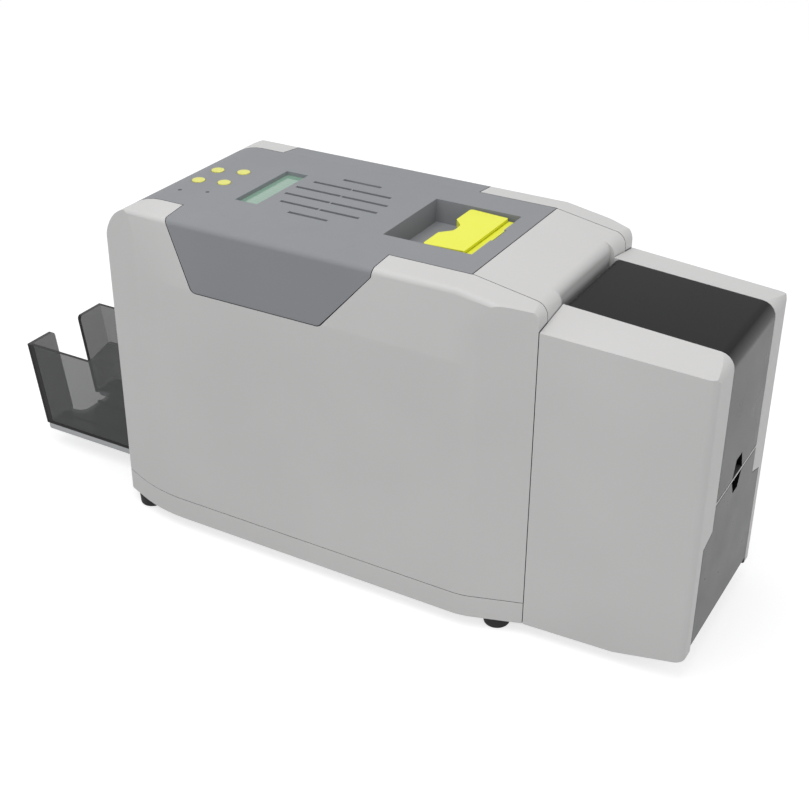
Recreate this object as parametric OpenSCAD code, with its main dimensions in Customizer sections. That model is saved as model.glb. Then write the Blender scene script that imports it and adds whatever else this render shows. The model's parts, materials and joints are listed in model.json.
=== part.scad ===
// Desktop card printer: body with a hinged top cover, card feeder at the rear, output tray at the front.
// Every module is drawn in body coordinates: x runs back from the body's front end, y is 0 on the
// middle plane, z is 0 on the table. The last lines shift each piece so that the origin is under the middle.

/* [Body] */
// Length of the main body, from its front end to the feeder
body_len = 300; // [285:1:330]
// Half of the body's width at its widest
body_half = 78.2; // [76:0.2:90]
// Half of the body's width at its front end
end_half = 64.4; // [62:0.2:70]
// Half of the body's width at its rear end, where the feeder joins
rear_half = 66.6; // [65:0.1:70]
// Length over which the body narrows towards the front end
front_taper = 35.4; // [25:0.1:45]
// Length over which the body narrows towards the feeder
rear_taper = 36; // [25:0.5:45]
// Height of the body's flat top above the table
top_z = 223; // [218:0.5:240]
// Radius of the rounded front end
nose_r = 39.5; // [32:0.5:42]
// Height of the flank's leaning upper part
belt_drop = 44; // [38:0.5:53]
// How far the flank's upper edge stands in from its widest place
lean = 3.6; // [2:0.1:6]
// Half width of the flat top between the side covers
deck_half = 56; // [54:0.5:58]
// Half width of the top cover's front part
lid_front_half = 54; // [52:0.5:55]
// Wall of the casings
wall = 2.5; // [1.8:0.1:3]
// Height of the base above its underside
base_h = 15.4; // [12:0.2:20]
// Width of the joint lines between casings
seam = 0.5; // [0.3:0.1:0.8]

/* [Rear deck] */
// Distance from the body's rear end where the deck starts to fall
deck_fall_len = 46; // [40:1:60]
// Angle at which the deck falls
deck_fall_a = 9.7; // [6:0.1:12]
// Radius of the deck's rounded rear edge
roll_r = 8; // [7:0.5:14]
// Half width of the notch behind the hopper cover
notch_half = 37.5; // [37:0.5:42]
// Depth of that notch
notch_depth = 2.5; // [2:0.5:8]
// Radius of the deck's rear edge inside the notch
notch_r = 6.5; // [5:0.5:9]

/* [Top cover] */
// Front end of the part that drapes over the flanks
drape_x0 = 58; // [52:0.5:64]
// Rear end of the part that drapes over the flanks
drape_x1 = 202; // [195:0.5:206]
// Front end of the drape's lower edge
drape_low_x0 = 77; // [70:0.5:85]
// Rear end of the drape's lower edge
drape_low_x1 = 167.3; // [160:0.5:180]
// How far the top cover opens
open_a = 70; // [50:1:70]
// Radius of the cover's hinge barrel
barrel_r = 4.2; // [4:0.1:5]
// Opening depth of the pocket for the latch
pocket_depth = 15; // [13:0.5:17]
// Length of the latch pocket
pocket_len = 57.7; // [56:0.5:60]
// Half width of the latch pocket
pocket_half = 32.5; // [31:0.5:38]
// Length of the display window along the body
display_len = 16; // [12:0.5:18]
// Width of the display window across the body
display_w = 57.5; // [50:0.5:62]
// Offset of the display window from the middle
display_y = -2.3; // [-5:0.1:5]
// Half length of the longest vent slot
vent_r = 33; // [28:0.5:34]
// Distance between two vent slots
vent_pitch = 12.6; // [10:0.1:14]
// Width of a vent slot
vent_w = 2.6; // [1.5:0.1:3]
// Radius of a control button
button_r = 4.2; // [3.5:0.1:5]

/* [Feeder] */
// Length of the feeder
feeder_len = 99; // [96:0.5:120]
// How far the feeder's top lies below the body's flat top
feeder_drop = 15; // [11:0.5:19]
// Fall of the feeder's top over its length
feeder_fall = 6.2; // [3:0.1:9]
// Half of the feeder's width at its end
feeder_end_half = 62; // [60:0.1:65]
// How far the feeder's top slopes down from the hopper to the flanks
feeder_edge_fall = 4.7; // [2:0.1:7]
// How far the feeder's underside rises towards its end
feeder_rise = 7; // [4:0.5:9]
// Length over which it rises
feeder_rise_len = 42; // [35:1:50]
// Half width of the opening for the hopper
well_half = 36.3; // [35:0.1:40]
// Half width of the opening below the hopper
bin_half = 50.3; // [48:0.1:52]
// Height where the lower, wider opening ends
bin_top = 90.5; // [84:0.5:96]
// Height of the bar between the hopper cover and the door
bar_z = 108.4; // [106:0.2:112]

/* [Output tray] */
// Length of the output tray
tray_len = 107; // [100:1:130]
// Half width of the output tray
tray_half = 39; // [36:0.5:44]
// Height of the tray's low walls above the table
tray_low = 79.4; // [70:0.2:90]
// Height of the tray's walls next to the body
tray_high = 101.5; // [94:0.5:104]
// How far the tray's end wall slants
tray_slant = 9.5; // [4:0.5:12]
// Half width of the gap in the tray's end wall
tray_gap_half = 14; // [12:0.5:18]
// Half width of the finger notch in the tray's floor
floor_gap_half = 17.5; // [15:0.5:22]
// Length of that notch
floor_gap_len = 15.5; // [12:0.5:25]
// Height of the tray's underside above the table
tray_z = 13.1; // [11:0.1:18]
// Thickness of the tray's grey base
tray_base_t = 4.5; // [3:0.1:6]

/* [Card path] */
// Height of the card path above the table
path_z = 106.5; // [104:0.5:107.5]
// Width of a card
card_w = 54; // [54:0.1:54.4]
// Gap between a drive roller and its pinch roller
card_gap = 0.9; // [0.8:0.1:1.2]
// Radius of the drive rollers
tyre_r = 7; // [6:0.25:7.5]
// Radius of the drive shafts
shaft_r = 2.5; // [2:0.1:3]
// Half width of the chassis, over its side plates
chassis_half = 45.5; // [44.5:0.5:46]
// Thickness of the side plates
plate_t = 1.5; // [1:0.1:2]

/* [Feet] */
// Height of the feet
foot_h = 8; // [5:0.5:12]
// Radius of the feet
foot_r = 8.5; // [7:0.5:10]

/* [Hidden] */
$fn = 48;

base_z = foot_h;
seam_z = base_z + base_h;
feeder_x1 = body_len + feeder_len;
feeder_top = top_z - feeder_drop;
mid_x = (feeder_x1 - tray_len) / 2;
far = 2 * (feeder_x1 + top_z);
touch = 0.02;
run_fit = 0.06;
nose = [nose_r, top_z - nose_r];
belt_z = top_z - belt_drop;
crease_half = body_half - lean;
lid_x1 = body_len - deck_fall_len;
rear_open_z = feeder_top - 22;
in_top = top_z - wall;
lap_t = 1.5;
lap_gap = 0.05;

// hinge of the top cover; the casings in front of it stay clear of the cover's edge as it swings
hinge_a = 60;
hinge = [nose[0] - (nose_r - barrel_r) * cos(hinge_a), nose[1] + (nose_r - barrel_r) * sin(hinge_a)];
swing_r = barrel_r / cos(open_a / 2) + 0.3;
pin_r = 1.5;
ear_r = 2.9;
plate_y = chassis_half - plate_t;

// places along the top cover
display_x = 0.26 * body_len;
vent_x = 0.43767 * body_len;
pocket_x = lid_x1 - 12.3 - pocket_len;
vent_share = [0.42, 0.85, 1, 1, 0.85, 0.42];
vent_web = 1;

// screws under the base, sunk into its floor
screw_r = 3;
screw_sink = 1.3;

// latch and its catch
latch_top = top_z - 1;
latch_t = 4.5;
latch_len = 26;
latch_half = pocket_half - 4;
latch_strip = 4.8;
latch_x1 = pocket_x + pocket_len - 2;
latch_axis = [latch_x1 - 3, top_z - 9];
hook_half = 8;
hook_z = top_z - 36;
hook_t = 2.8;
catch_r = 2;
catch = [latch_x1 + 6, hook_z + hook_t + 0.35 + catch_r];

// card path
axle_z = path_z - tyre_r;
exit_x = 36;
head_x = body_len / 2;
feed_x = body_len - 38;
pick_x = body_len + 30;
pinch_r = 5;
pinch_z = path_z + card_gap + pinch_r;
clean_x = feed_x - 22;
clean_r = 6;
clean_z = path_z + card_gap + clean_r;
idle_shaft_r = 2;
bush_r = 5;
bush_flange = 1.5;

// drive belts, one behind another outside the right side plate
pulley_r = 8;
feed_pulley_r = 10;
motor_pulley_r = 6;
pulley_w = 5;
pulley_step = 5.5;
pulley_y = chassis_half + 2;
belt_t = 1.2;
belt_w = 3;
motor_at = [feed_x - 27, axle_z - 24.5];
motor_side = 42;

// board and power supply on the base's floor
board_x0 = 76;
board_half = 38;
supply_x1 = body_len - 18;
supply_x0 = supply_x1 - 84;
board_x1 = supply_x0 - 8;

// ribbon cartridge
spool_z = path_z + 43.5;
takeup_x = head_x - 50;
supply_spool_x = head_x + 55;
cart_half = 38;
cart_t = 2;
rail_z = path_z + 3.5;
guide_r = 2;
guide_z = rail_z + guide_r + 0.6;
film_t = 0.3;
film_half = 27.2;
supply_r = 19;
takeup_r = 12;
journal_r = 3;

// feeder
feeder_r = 6;
feeder_corner_r = 9;
feeder_fall_a = atan(feeder_fall / feeder_len);
ridge_half = well_half + 1;
rise_x = feeder_x1 - feeder_rise_len;
low_edge = base_z + feeder_rise;
cover_gap = 0.4;
cover_axis = [body_len + 4.8, feeder_top - 4.2];
cover_barrel_r = 3.8;
door_t = 2.6;
door_gap = 0.4;
slant_low = bin_top - 3.8;
slant_high = bin_top + 0.5;
cover_low = bar_z + 2;
door_axis = [feeder_x1 - door_t / 2, low_edge + 5.3];
floor_z = path_z - 0.5;
liner_t = 2;
liner_x = body_len + 3;
liner_half = card_w / 2 + 0.4;

// output tray
tray_floor = tray_z + tray_base_t;
tray_end_x = -tray_len + tray_slant;

// switch on the left flank
io_x = body_len - rear_taper - 80;
io_len = 56;
io_z = 38;
io_h = 40;
io_y = body_half - wall;
switch_at = [io_x + 46, io_y + 0.2, io_z + io_h / 2];

// geometry helpers
function unit(v) = v / norm(v);
function turn(a) = a > 180 ? a - 360 : a < -180 ? a + 360 : a;
function arc_points(c, r, a0, a1, n) =
    [for (i = [0:n]) let (a = a0 + (a1 - a0) * i / n) c + r * [cos(a), sin(a)]];
// points is a list of [x, y, radius]; every corner with a radius becomes an arc of n steps
function rounded(points, n = 5) = [for (i = [0:len(points) - 1]) let (
        k = len(points), p = points[i], r = p[2], c = [p[0], p[1]],
        b = points[(i + k - 1) % k], f = points[(i + 1) % k],
        u = unit([b[0], b[1]] - c), v = unit([f[0], f[1]] - c),
        half = acos(min(1, max(-1, u * v))) / 2,
        m = r > 0 ? c + unit(u + v) * r / sin(half) : c,
        s = c + u * r / tan(half) - m, e = c + v * r / tan(half) - m,
        a0 = atan2(s[1], s[0]), sweep = turn(atan2(e[1], e[0]) - a0))
    each r > 0 ? arc_points(m, r, a0, a0 + sweep, n) : [c]];
module along_y(y0, y1) { translate([0, y1, 0]) rotate([90, 0, 0]) linear_extrude(y1 - y0) children(); }
module along_x(x0, x1) { translate([x0, 0, 0]) rotate([90, 0, 90]) linear_extrude(x1 - x0) children(); }
module block(x0, x1, y0, y1, z0, z1) { translate([x0, y0, z0]) cube([x1 - x0, y1 - y0, z1 - z0]); }
module rod(x, z, r, y0, y1) { translate([x, y1, z]) rotate([90, 0, 0]) cylinder(r = r, h = y1 - y0); }
module both_sides() { children(); mirror([0, 1, 0]) children(); }

// outline of the body in the three views, moved in by t
module body_plan(t) {
    h = body_half - t;
    e = end_half - t;
    b = rear_half - t;
    front_r = 110;
    rear_r = 40;
    polygon(rounded([[t, -e, 6], [front_taper, -h, front_r], [body_len - rear_taper, -h, rear_r],
        [body_len, -b, 0], [body_len, b, 0], [body_len - rear_taper, h, rear_r], [front_taper, h, front_r],
        [t, e, 6]], 6));
}
module body_side(t, z0, r = roll_r) {
    s = (body_len - r * (1 - sin(deck_fall_a)) - lid_x1) / cos(deck_fall_a);
    roll = [body_len - r, top_z - s * sin(deck_fall_a) - r * cos(deck_fall_a)];
    polygon(concat([[t, z0]], arc_points(nose, nose_r - t, 180, 90, 12),
        [[lid_x1 - t * tan(deck_fall_a / 2), top_z - t]],
        arc_points(roll, r - t, 90 - deck_fall_a, 0, 8), [[body_len - t, z0]]));
}
module body_front(t, z0) {
    h = body_half - t;
    c = crease_half - t;
    polygon(rounded([[-h, z0, 0], [-h, belt_z, 60], [-c, top_z - t - 1.8, 4], [-deck_half, top_z - t, 30],
        [deck_half, top_z - t, 30], [c, top_z - t - 1.8, 4], [h, belt_z, 60], [h, z0, 0]]));
}
module body_env(t, z0) {
    intersection() {
        translate([0, 0, z0]) linear_extrude(top_z) body_plan(t);
        along_y(-far, far) body_side(t, z0);
        along_x(-far, far) body_front(t, z0);
        translate([lid_x1, 0, top_z]) rotate([0, deck_fall_a, 0]) translate([0, 0, 0.05 - top_z])
            along_x(-far, far) body_front(t, -far);
    }
}
// a casing between two insets; it is open below, and open behind where it meets the feeder
module body_skin(t0, t1) {
    difference() {
        body_env(t0, seam_z);
        body_env(t1, seam_z - 5);
        block(body_len - wall - 1, body_len + 5, -rear_half + t1, rear_half - t1, 0, rear_open_z);
    }
}

// regions that share out the body's skin
module drape_region(g) {
    slope = (drape_low_x0 - drape_x0) / (belt_drop - 3);
    r = 4.5 + g;
    along_y(-far, far) polygon(rounded([[drape_x0 - g - 7 * slope, top_z + 4, 0],
        [drape_low_x0 - g, belt_z - g, r], [drape_low_x1 + g, belt_z - g, r],
        [drape_x1 - 1.5 + g, top_z - 7, 0], [drape_x1 + g, top_z + 4, 0]]));
}
module lid_middle_region(g) {
    reach = 2 * nose_r;
    cut = [[nose[0], nose[1]], nose + reach * [-cos(hinge_a), sin(hinge_a)], [nose[0] - reach, top_z + 40]];
    intersection() {
        along_y(-far, far) polygon(concat(cut, [[lid_x1 + g, top_z + 40], [lid_x1 + g, top_z - 40]]));
        union() {
            block(-20, drape_x0 + 20, -lid_front_half - g, lid_front_half + g, 0, far);
            block(drape_x0 + 10, far, -deck_half - g, deck_half + g, 0, far);
        }
    }
}
module front_region(g) {
    reach = 2 * nose_r;
    intersection() {
        block(-20, nose[0], -lid_front_half + g, lid_front_half - g, seam_z, far);
        along_y(-far, far) polygon([[-20, 0], [nose[0], 0], [nose[0], nose[1]],
            nose + reach * [-cos(hinge_a), sin(hinge_a)], [-20, nose[1]]]);
    }
}
module deck_region(g) {
    block(lid_x1 + g, far, -deck_half + g, deck_half - g, top_z - 38, far);
}

// casings
module base_pan() {
    color("gainsboro") {
        difference() {
            translate([0, 0, base_z]) linear_extrude(base_h - seam) body_plan(0);
            translate([0, 0, base_z + wall]) linear_extrude(base_h) body_plan(wall);
            block(body_len - wall - 1, body_len + 5, -rear_half + wall, rear_half - wall, base_z + wall, far);
            both_sides() for (p = screw_places) translate([p[0], p[1], base_z - 1])
                cylinder(r = screw_r + run_fit, h = 1 + screw_sink);
        }
        difference() {
            translate([0, 0, base_z + wall - 0.5]) linear_extrude(base_h + 1.8) body_plan(wall);
            translate([0, 0, base_z + wall]) linear_extrude(base_h + 9) body_plan(wall + 1.5);
            block(body_len - 12, body_len + 5, -rear_half - 5, rear_half + 5, base_z + wall, far);
        }
    }
}
module foot_at(x, y) {
    translate([x, y, 0]) rotate_extrude()
        polygon([[0, 0], [foot_r - 1.4, 0], [foot_r - 0.4, 1], [foot_r, foot_h], [0, foot_h]]);
}
module rubber_feet() {
    color("dimgray") both_sides() {
        foot_at(17, -62.5);
        foot_at(body_len - 18.5, -62.5);
    }
}
module side_cover() {
    difference() {
        union() {
            intersection() {
                body_skin(0, wall);
                block(-5, body_len, -far, -lid_front_half, seam_z, far);
            }
            intersection() {
                body_skin(wall - touch, wall + lap_t);
                union() {
                    block(-5, 14, -lid_front_half - 6, -lid_front_half, seam_z + 5, nose[1] + 8);
                    block(lid_x1 + 4, body_len - 4, -deck_half - 5, -deck_half, top_z - 34, far);
                }
            }
            intersection() {
                body_skin(wall + lap_gap, wall + lap_t);
                union() {
                    block(-5, 14, -lid_front_half - 1, -lid_front_half + 4, seam_z + 5, nose[1] + 8);
                    block(lid_x1 + 4, body_len - 4, -deck_half - 1, -deck_half + 4, top_z - 34, far);
                }
            }
        }
        difference() {
            drape_region(seam);
            block(-5, drape_x0 - seam - 2, -far, far, 0, far);
        }
        lid_middle_region(seam);
        intersection() {
            deck_region(0);
            difference() {
                body_env(-5, seam_z);
                body_env(wall + lap_gap, seam_z - 5);
            }
        }
        along_y(-lid_front_half - seam, far) translate([hinge[0], hinge[1]]) circle(r = swing_r);
    }
}
module io_opening() { block(io_x, io_x + io_len, 0, far, io_z, io_z + io_h); }
module right_side_cover() { color("gainsboro") side_cover(); }
module left_side_cover() {
    color("gainsboro") difference() {
        mirror([0, 1, 0]) side_cover();
        io_opening();
    }
}
module front_panel() {
    color("gainsboro") difference() {
        intersection() {
            body_skin(0, wall);
            front_region(seam);
        }
        along_y(-far, far) translate([hinge[0], hinge[1]]) circle(r = swing_r);
        block(-5, 20, -card_w / 2 - 4, card_w / 2 + 4, path_z - 6, path_z + 9);
    }
}
// side view of the deck's rear edge inside the notch, moved in by t
module notch_side(t) { translate([-notch_depth, notch_depth * tan(deck_fall_a)]) body_side(t, 0, notch_r); }
module rear_deck() {
    roll_x = body_len - max(notch_r * (1 - sin(deck_fall_a)) + notch_depth, roll_r);
    color("gainsboro") {
        difference() {
            intersection() {
                body_skin(0, wall);
                deck_region(seam);
            }
            block(roll_x, body_len + 5, -notch_half, notch_half, 0, far);
        }
        intersection() {
            difference() {
                along_y(-notch_half - touch, notch_half + touch) notch_side(0);
                along_y(-notch_half - 1, notch_half + 1) notch_side(wall);
            }
            block(roll_x - 1, body_len, -far, far, rear_open_z, far);
        }
        both_sides() intersection() {
            body_env(0, seam_z);
            block(roll_x - 1, body_len, notch_half, notch_half + wall, rear_open_z, far);
        }
    }
}
module screw_at(x, y) {
    translate([x, y, base_z + screw_sink - wall]) difference() {
        cylinder(r = screw_r, h = wall);
        translate([0, 0, -touch]) linear_extrude(1) union() {
            square([3.4, 0.8], center = true);
            square([0.8, 3.4], center = true);
        }
    }
}
screw_places = [[40, -50], [150, -66], [255, -50]];
module case_screws() {
    color("silver") both_sides() for (p = screw_places) screw_at(p[0], p[1]);
}

// chassis
module shaft_place(x, r) { translate([x, axle_z]) circle(r = r); }
module side_plate() {
    rotate([90, 0, 0]) linear_extrude(plate_t) difference() {
        union() {
            polygon([[8, base_z + wall], [body_len - 12, base_z + wall], [body_len - 12, path_z + 34],
                [catch[0] + 8, catch[1] - 16], [catch[0] + 6, catch[1] + 4.5], [catch[0] - 6, catch[1] + 4.5],
                [catch[0] - 14, catch[1] - 18], [60, path_z + 68], [34, path_z + 78],
                [hinge[0] + ear_r - 0.3, hinge[1]], [hinge[0] - ear_r + 0.2, hinge[1] - 1],
                [8, path_z + 40]]);
            translate([hinge[0], hinge[1]]) circle(r = ear_r);
        }
        translate([hinge[0], hinge[1]]) circle(r = pin_r + run_fit);
        for (x = [exit_x, head_x, feed_x]) shaft_place(x, bush_r);
        translate([catch[0], catch[1]]) circle(r = catch_r);
        for (x = [exit_x, feed_x]) translate([x, pinch_z]) circle(r = idle_shaft_r + run_fit);
        translate([clean_x, clean_z]) circle(r = idle_shaft_r + run_fit);
        translate(motor_at) circle(r = 11);
        for (p = rod_places) translate(p) circle(r = 3);
        translate([60, 40]) square([60, 34]);
    }
}
rod_places = [[26, 150], [70, 34], [body_len - 22, 60]];
module right_side_plate() { color("silver") translate([0, -plate_y, 0]) side_plate(); }
module left_side_plate() {
    color("silver") difference() {
        translate([0, chassis_half, 0]) side_plate();
        rod(takeup_x, spool_z, shaft_r + run_fit, 0, far);
    }
}
module tie_rods() {
    color("lightgray") {
        for (p = rod_places) rod(p[0], p[1], 3, -chassis_half, chassis_half);
        rod(catch[0], catch[1], catch_r, -chassis_half, chassis_half);
    }
}
module guide_rail() {
    edge = card_w / 2;
    difference() {
        union() {
            block(18, body_len - 1, edge - 2, plate_y, path_z - 3.5, path_z - 0.3);
            block(18, body_len - 1, edge + 0.6, plate_y, path_z - 0.4, rail_z);
        }
        block(head_x - tyre_r - 8, head_x + tyre_r + 8, 0, edge + 4, 0, far);
        for (x = [exit_x, feed_x]) block(x - 4, x + 4, 0, far, path_z, far);
        block(clean_x - 8, clean_x + 8, 0, edge + 5, path_z, far);
        block(clean_x - 4, clean_x + 4, 0, far, path_z, far);
    }
}
module card_guides() { color("dimgray") both_sides() guide_rail(); }
module bush(x, y) {
    difference() {
        union() {
            rod(x, axle_z, bush_r, y - plate_t, y);
            rod(x, axle_z, bush_r + 1.5, y, y + bush_flange);
        }
        rod(x, axle_z, shaft_r + run_fit, y - 5, y + 5);
    }
}
module shaft_bushes() {
    color("goldenrod") both_sides() {
        for (x = [exit_x, head_x, feed_x]) bush(x, chassis_half);
    }
}
module main_board() {
    top = base_z + 10.6;
    color("seagreen") {
        block(board_x0, board_x1, -board_half, board_half, top - 1.6, top);
        for (x = [board_x0 + 4, board_x1 - 4], y = [-board_half + 4, board_half - 4])
            translate([x, y, base_z + wall]) cylinder(r = 3, h = top - 1.6 - base_z - wall);
        block(board_x0 + 24, board_x0 + 40, -12, 4, top - touch, top + 2.4);
        block(board_x1 - 50, board_x1 - 40, -30, 20, top - touch, top + 7.4);
    }
}
module power_supply() {
    top = base_z + 38;
    color("silver") difference() {
        block(supply_x0, supply_x1, -40, 40, base_z + wall, top);
        for (i = [0:6]) block(supply_x0 + 10 + 10 * i, supply_x0 + 14 + 10 * i, -30, 30, top - 2, top + 1);
    }
}
module main_motor() {
    h = motor_side / 2;
    color("dimgray") difference() {
        translate([motor_at[0], 0, motor_at[1]]) union() {
            along_y(-plate_y, -plate_y + 34)
                polygon(rounded([[-h, -h, 5], [h, -h, 5], [h, h, 5], [-h, h, 5]]));
            rod(0, 0, 10.9, -chassis_half, -plate_y);
        }
        rod(motor_at[0], motor_at[1], shaft_r + run_fit, -chassis_half - 5, -plate_y + 10);
    }
}

// drive train
function slot_y(i) = -pulley_y - i * pulley_step;
module pulley(x, z, r, i) {
    y1 = slot_y(i);
    rod(x, z, r, y1 - pulley_w, y1);
    for (y = [y1 - pulley_w, y1 - 0.8]) rod(x, z, r + 1.5, y, y + 0.8);
}
module belt(a, ra, b, rb, i) {
    mid = slot_y(i) - pulley_w / 2;
    along_y(mid - belt_w / 2, mid + belt_w / 2) difference() {
        hull() {
            translate(a) circle(r = ra + belt_t);
            translate(b) circle(r = rb + belt_t);
        }
        hull() {
            translate(a) circle(r = ra + 0.1);
            translate(b) circle(r = rb + 0.1);
        }
    }
}
module path_belt() { color("black") belt([exit_x, axle_z], pulley_r, [feed_x, axle_z], pulley_r, 0); }
module pick_belt() { color("black") belt([feed_x, axle_z], pulley_r, [pick_x, axle_z], pulley_r, 1); }
module motor_belt() { color("black") belt(motor_at, motor_pulley_r, [feed_x, axle_z], feed_pulley_r, 2); }
module motor_pulley() {
    color("silver") {
        pulley(motor_at[0], motor_at[1], motor_pulley_r, 2);
        rod(motor_at[0], motor_at[1], shaft_r, slot_y(2) - pulley_w, -plate_y + 8);
    }
}
module tyres(x, half) { both_sides() rod(x, axle_z, tyre_r, 8, half); }
module feed_shaft() {
    color("silver") {
        rod(feed_x, axle_z, shaft_r, slot_y(2) - pulley_w, chassis_half + 3);
        pulley(feed_x, axle_z, pulley_r, 0);
        pulley(feed_x, axle_z, pulley_r, 1);
        pulley(feed_x, axle_z, feed_pulley_r, 2);
    }
}
module feed_tyres() {
    color("dimgray") difference() {
        tyres(feed_x, 22);
        rod(feed_x, axle_z, shaft_r, -30, 30);
    }
}
module platen_shaft() {
    color("silver") {
        rod(head_x, axle_z, shaft_r, slot_y(0) - pulley_w, chassis_half + 3);
        pulley(head_x, axle_z, pulley_r, 0);
    }
}
module platen_tyre() {
    color("dimgray") difference() {
        rod(head_x, axle_z, tyre_r, -29, 29);
        rod(head_x, axle_z, shaft_r, -30, 30);
    }
}
module exit_roller() {
    color("dimgray") {
        rod(exit_x, axle_z, shaft_r, slot_y(0) - pulley_w, chassis_half + 3);
        tyres(exit_x, 22);
        pulley(exit_x, axle_z, pulley_r, 0);
    }
}
module pick_roller() {
    color("dimgray") {
        rod(pick_x, axle_z, shaft_r, slot_y(1) - pulley_w, well_half + wall);
        tyres(pick_x, 18);
        pulley(pick_x, axle_z, pulley_r, 1);
    }
}
module idle_roller(x, z, r, half) {
    rod(x, z, r, -half, half);
    rod(x, z, idle_shaft_r, -chassis_half, chassis_half);
}
module pinch_in_roller() { color("gray") idle_roller(feed_x, pinch_z, pinch_r, 22); }
module pinch_out_roller() { color("gray") idle_roller(exit_x, pinch_z, pinch_r, 22); }
module cleaning_roller() { color("steelblue") idle_roller(clean_x, clean_z, clean_r, 29); }

// ribbon
module spool_places(r) { for (x = [takeup_x, supply_spool_x]) translate([x, spool_z]) circle(r = r); }
module ribbon_cartridge() {
    low = rail_z;
    top = spool_z + 20;
    a = takeup_x;
    b = supply_spool_x;
    color("whitesmoke") {
        both_sides() along_y(cart_half - cart_t, cart_half) difference() {
            polygon([[a - 22, spool_z - 8], [a + 4, low], [b + 10, low], [b + 20, spool_z - 14],
                [b + 20, top], [b - 16, top], [b - 30, spool_z - 12], [a + 34, spool_z - 12],
                [a + 18, top], [a - 22, top]]);
            spool_places(journal_r + run_fit);
        }
        for (x = [a - 19, b + 17]) rod(x, spool_z + 17, 2.5, -cart_half, cart_half);
        for (x = [head_x - 18, head_x + 18]) rod(x, guide_z, guide_r, -cart_half, cart_half);
    }
}
module spool(x, roll) {
    rod(x, spool_z, roll, -30, 30);
    both_sides() rod(x, spool_z, 21, 30 - touch, 32);
    rod(x, spool_z, journal_r, -cart_half + 0.3, cart_half - 0.3);
}
module supply_spool() { color("black") spool(supply_spool_x, supply_r); }
module takeup_spool() { color("black") spool(takeup_x, takeup_r); }
module takeup_drive() {
    color("white") {
        rod(takeup_x, spool_z, shaft_r, cart_half - 0.3, chassis_half + 10);
        rod(takeup_x, spool_z, 8, cart_half + 1, plate_y - 1.5);
    }
}
module ribbon_motor() {
    h = 17.5;
    y1 = body_half - wall - 7.2;
    color("dimgray") difference() {
        translate([takeup_x, 0, spool_z]) along_y(chassis_half, y1)
            polygon(rounded([[-h, -h, 4], [h, -h, 4], [h, h, 4], [-h, h, 4]]));
        rod(takeup_x, spool_z, shaft_r + run_fit, 0, chassis_half + 12);
    }
}
// where a line from p touches the underside of a roll; side is 1 for a roll at higher x than p
function under_roll(p, c, r, side) =
    let (d = norm(c - p), a = atan2(c[1] - p[1], c[0] - p[0]) - side * asin(r / d))
    p + sqrt(d * d - r * r) * [cos(a), sin(a)];
module ribbon_film() {
    off = guide_r + 0.3;
    a = [head_x - 18.9, guide_z - off];
    b = [head_x + 18.9, guide_z - off];
    low = path_z + card_gap + film_t;
    path = [under_roll(a, [takeup_x, spool_z], takeup_r + 0.7, -1), a, [head_x - 2.5, low],
        [head_x + 2.5, low], b, under_roll(b, [supply_spool_x, spool_z], supply_r + 0.7, 1)];
    color("darkgoldenrod") along_y(-film_half, film_half)
        polygon(concat(path, [for (i = [len(path) - 1:-1:0]) path[i] - [0, film_t]]));
}

// top cover and what it carries
module lid_skin(t0, t1) {
    intersection() {
        body_skin(t0, t1);
        union() {
            drape_region(0);
            lid_middle_region(0);
        }
    }
}
// six slots; the long ones have a narrow web in the middle
module vent_slots() {
    for (i = [0:5]) translate([vent_x, (i - 2.5) * vent_pitch]) difference() {
        square([2 * vent_r * vent_share[i], vent_w], center = true);
        if (vent_share[i] > 0.5) square([vent_web, 2 * vent_w], center = true);
    }
}
module top_cover() {
    pocket_x1 = pocket_x + pocket_len;
    color("slategray") difference() {
        union() {
            lid_skin(0, wall);
            rod(hinge[0], hinge[1], barrel_r, -lid_front_half + seam, lid_front_half - seam);
            for (x = boss_x, y = [-boss_y, boss_y])
                translate([x, y, board_z]) cylinder(r = 2.4, h = in_top - board_z);
            block(pocket_x - 2, pocket_x1 + 2, -pocket_half - 2, pocket_half + 2, top_z - pocket_depth - 2,
                in_top + 1);
            intersection() {
                lid_skin(wall - 1, wall + 4);
                union() {
                    block(drape_x0 + 10, lid_x1 - 1, deck_half - 4, deck_half - 2, 0, far);
                    block(drape_x0 + 10, lid_x1 - 1, -deck_half + 2, -deck_half + 4, 0, far);
                }
            }
        }
        both_sides() block(-5, hinge[0] + barrel_r + 3.8, plate_y - 0.4, chassis_half + 0.4, 0,
            hinge[1] + ear_r + 0.4);
        both_sides() rod(hinge[0], hinge[1], pin_r, plate_y - 8, lid_front_half - 2);
        block(pocket_x, pocket_x1, -pocket_half, pocket_half, top_z - pocket_depth, far);
        block(latch_axis[0] - 8, latch_axis[0] + 6.5, -hook_half - 1, hook_half + 1, 0, far);
        rod(latch_axis[0], latch_axis[1], pin_r, -pocket_half - 2, pocket_half + 2);
        block(display_x, display_x + display_len, display_y - display_w / 2, display_y + display_w / 2,
            in_top - 9, far);
        translate([0, 0, in_top - 5]) linear_extrude(20) vent_slots();
        for (p = button_places) translate([p[0], p[1], in_top - 5]) cylinder(r = button_r + 0.2, h = 20);
        for (p = light_places) translate([p[0], p[1], in_top - 5]) cylinder(r = light_r, h = 20);
    }
}
button_places = [[39, -15.8], [39, 4.8], [55.5, -11.2], [55.5, 10]];
light_places = [[39, -35], [56, -29.5]];
light_r = 1.3;
board_z = top_z - 11;
boss_x = [46, display_x + display_len - 1];
boss_y = 37.5;
module button(i) {
    color("yellow") translate([button_places[i][0], button_places[i][1], 0]) {
        translate([0, 0, in_top - 1.7]) cylinder(r = button_r + 1.2, h = 1);
        translate([0, 0, in_top - 1.6]) cylinder(r = button_r, h = wall + 2.2);
        translate([0, 0, board_z + 1.5]) cylinder(r = 1.5, h = in_top - 1.5 - board_z - 1.5);
    }
}
module button_front_right() { button(0); }
module button_front_left() { button(1); }
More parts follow.
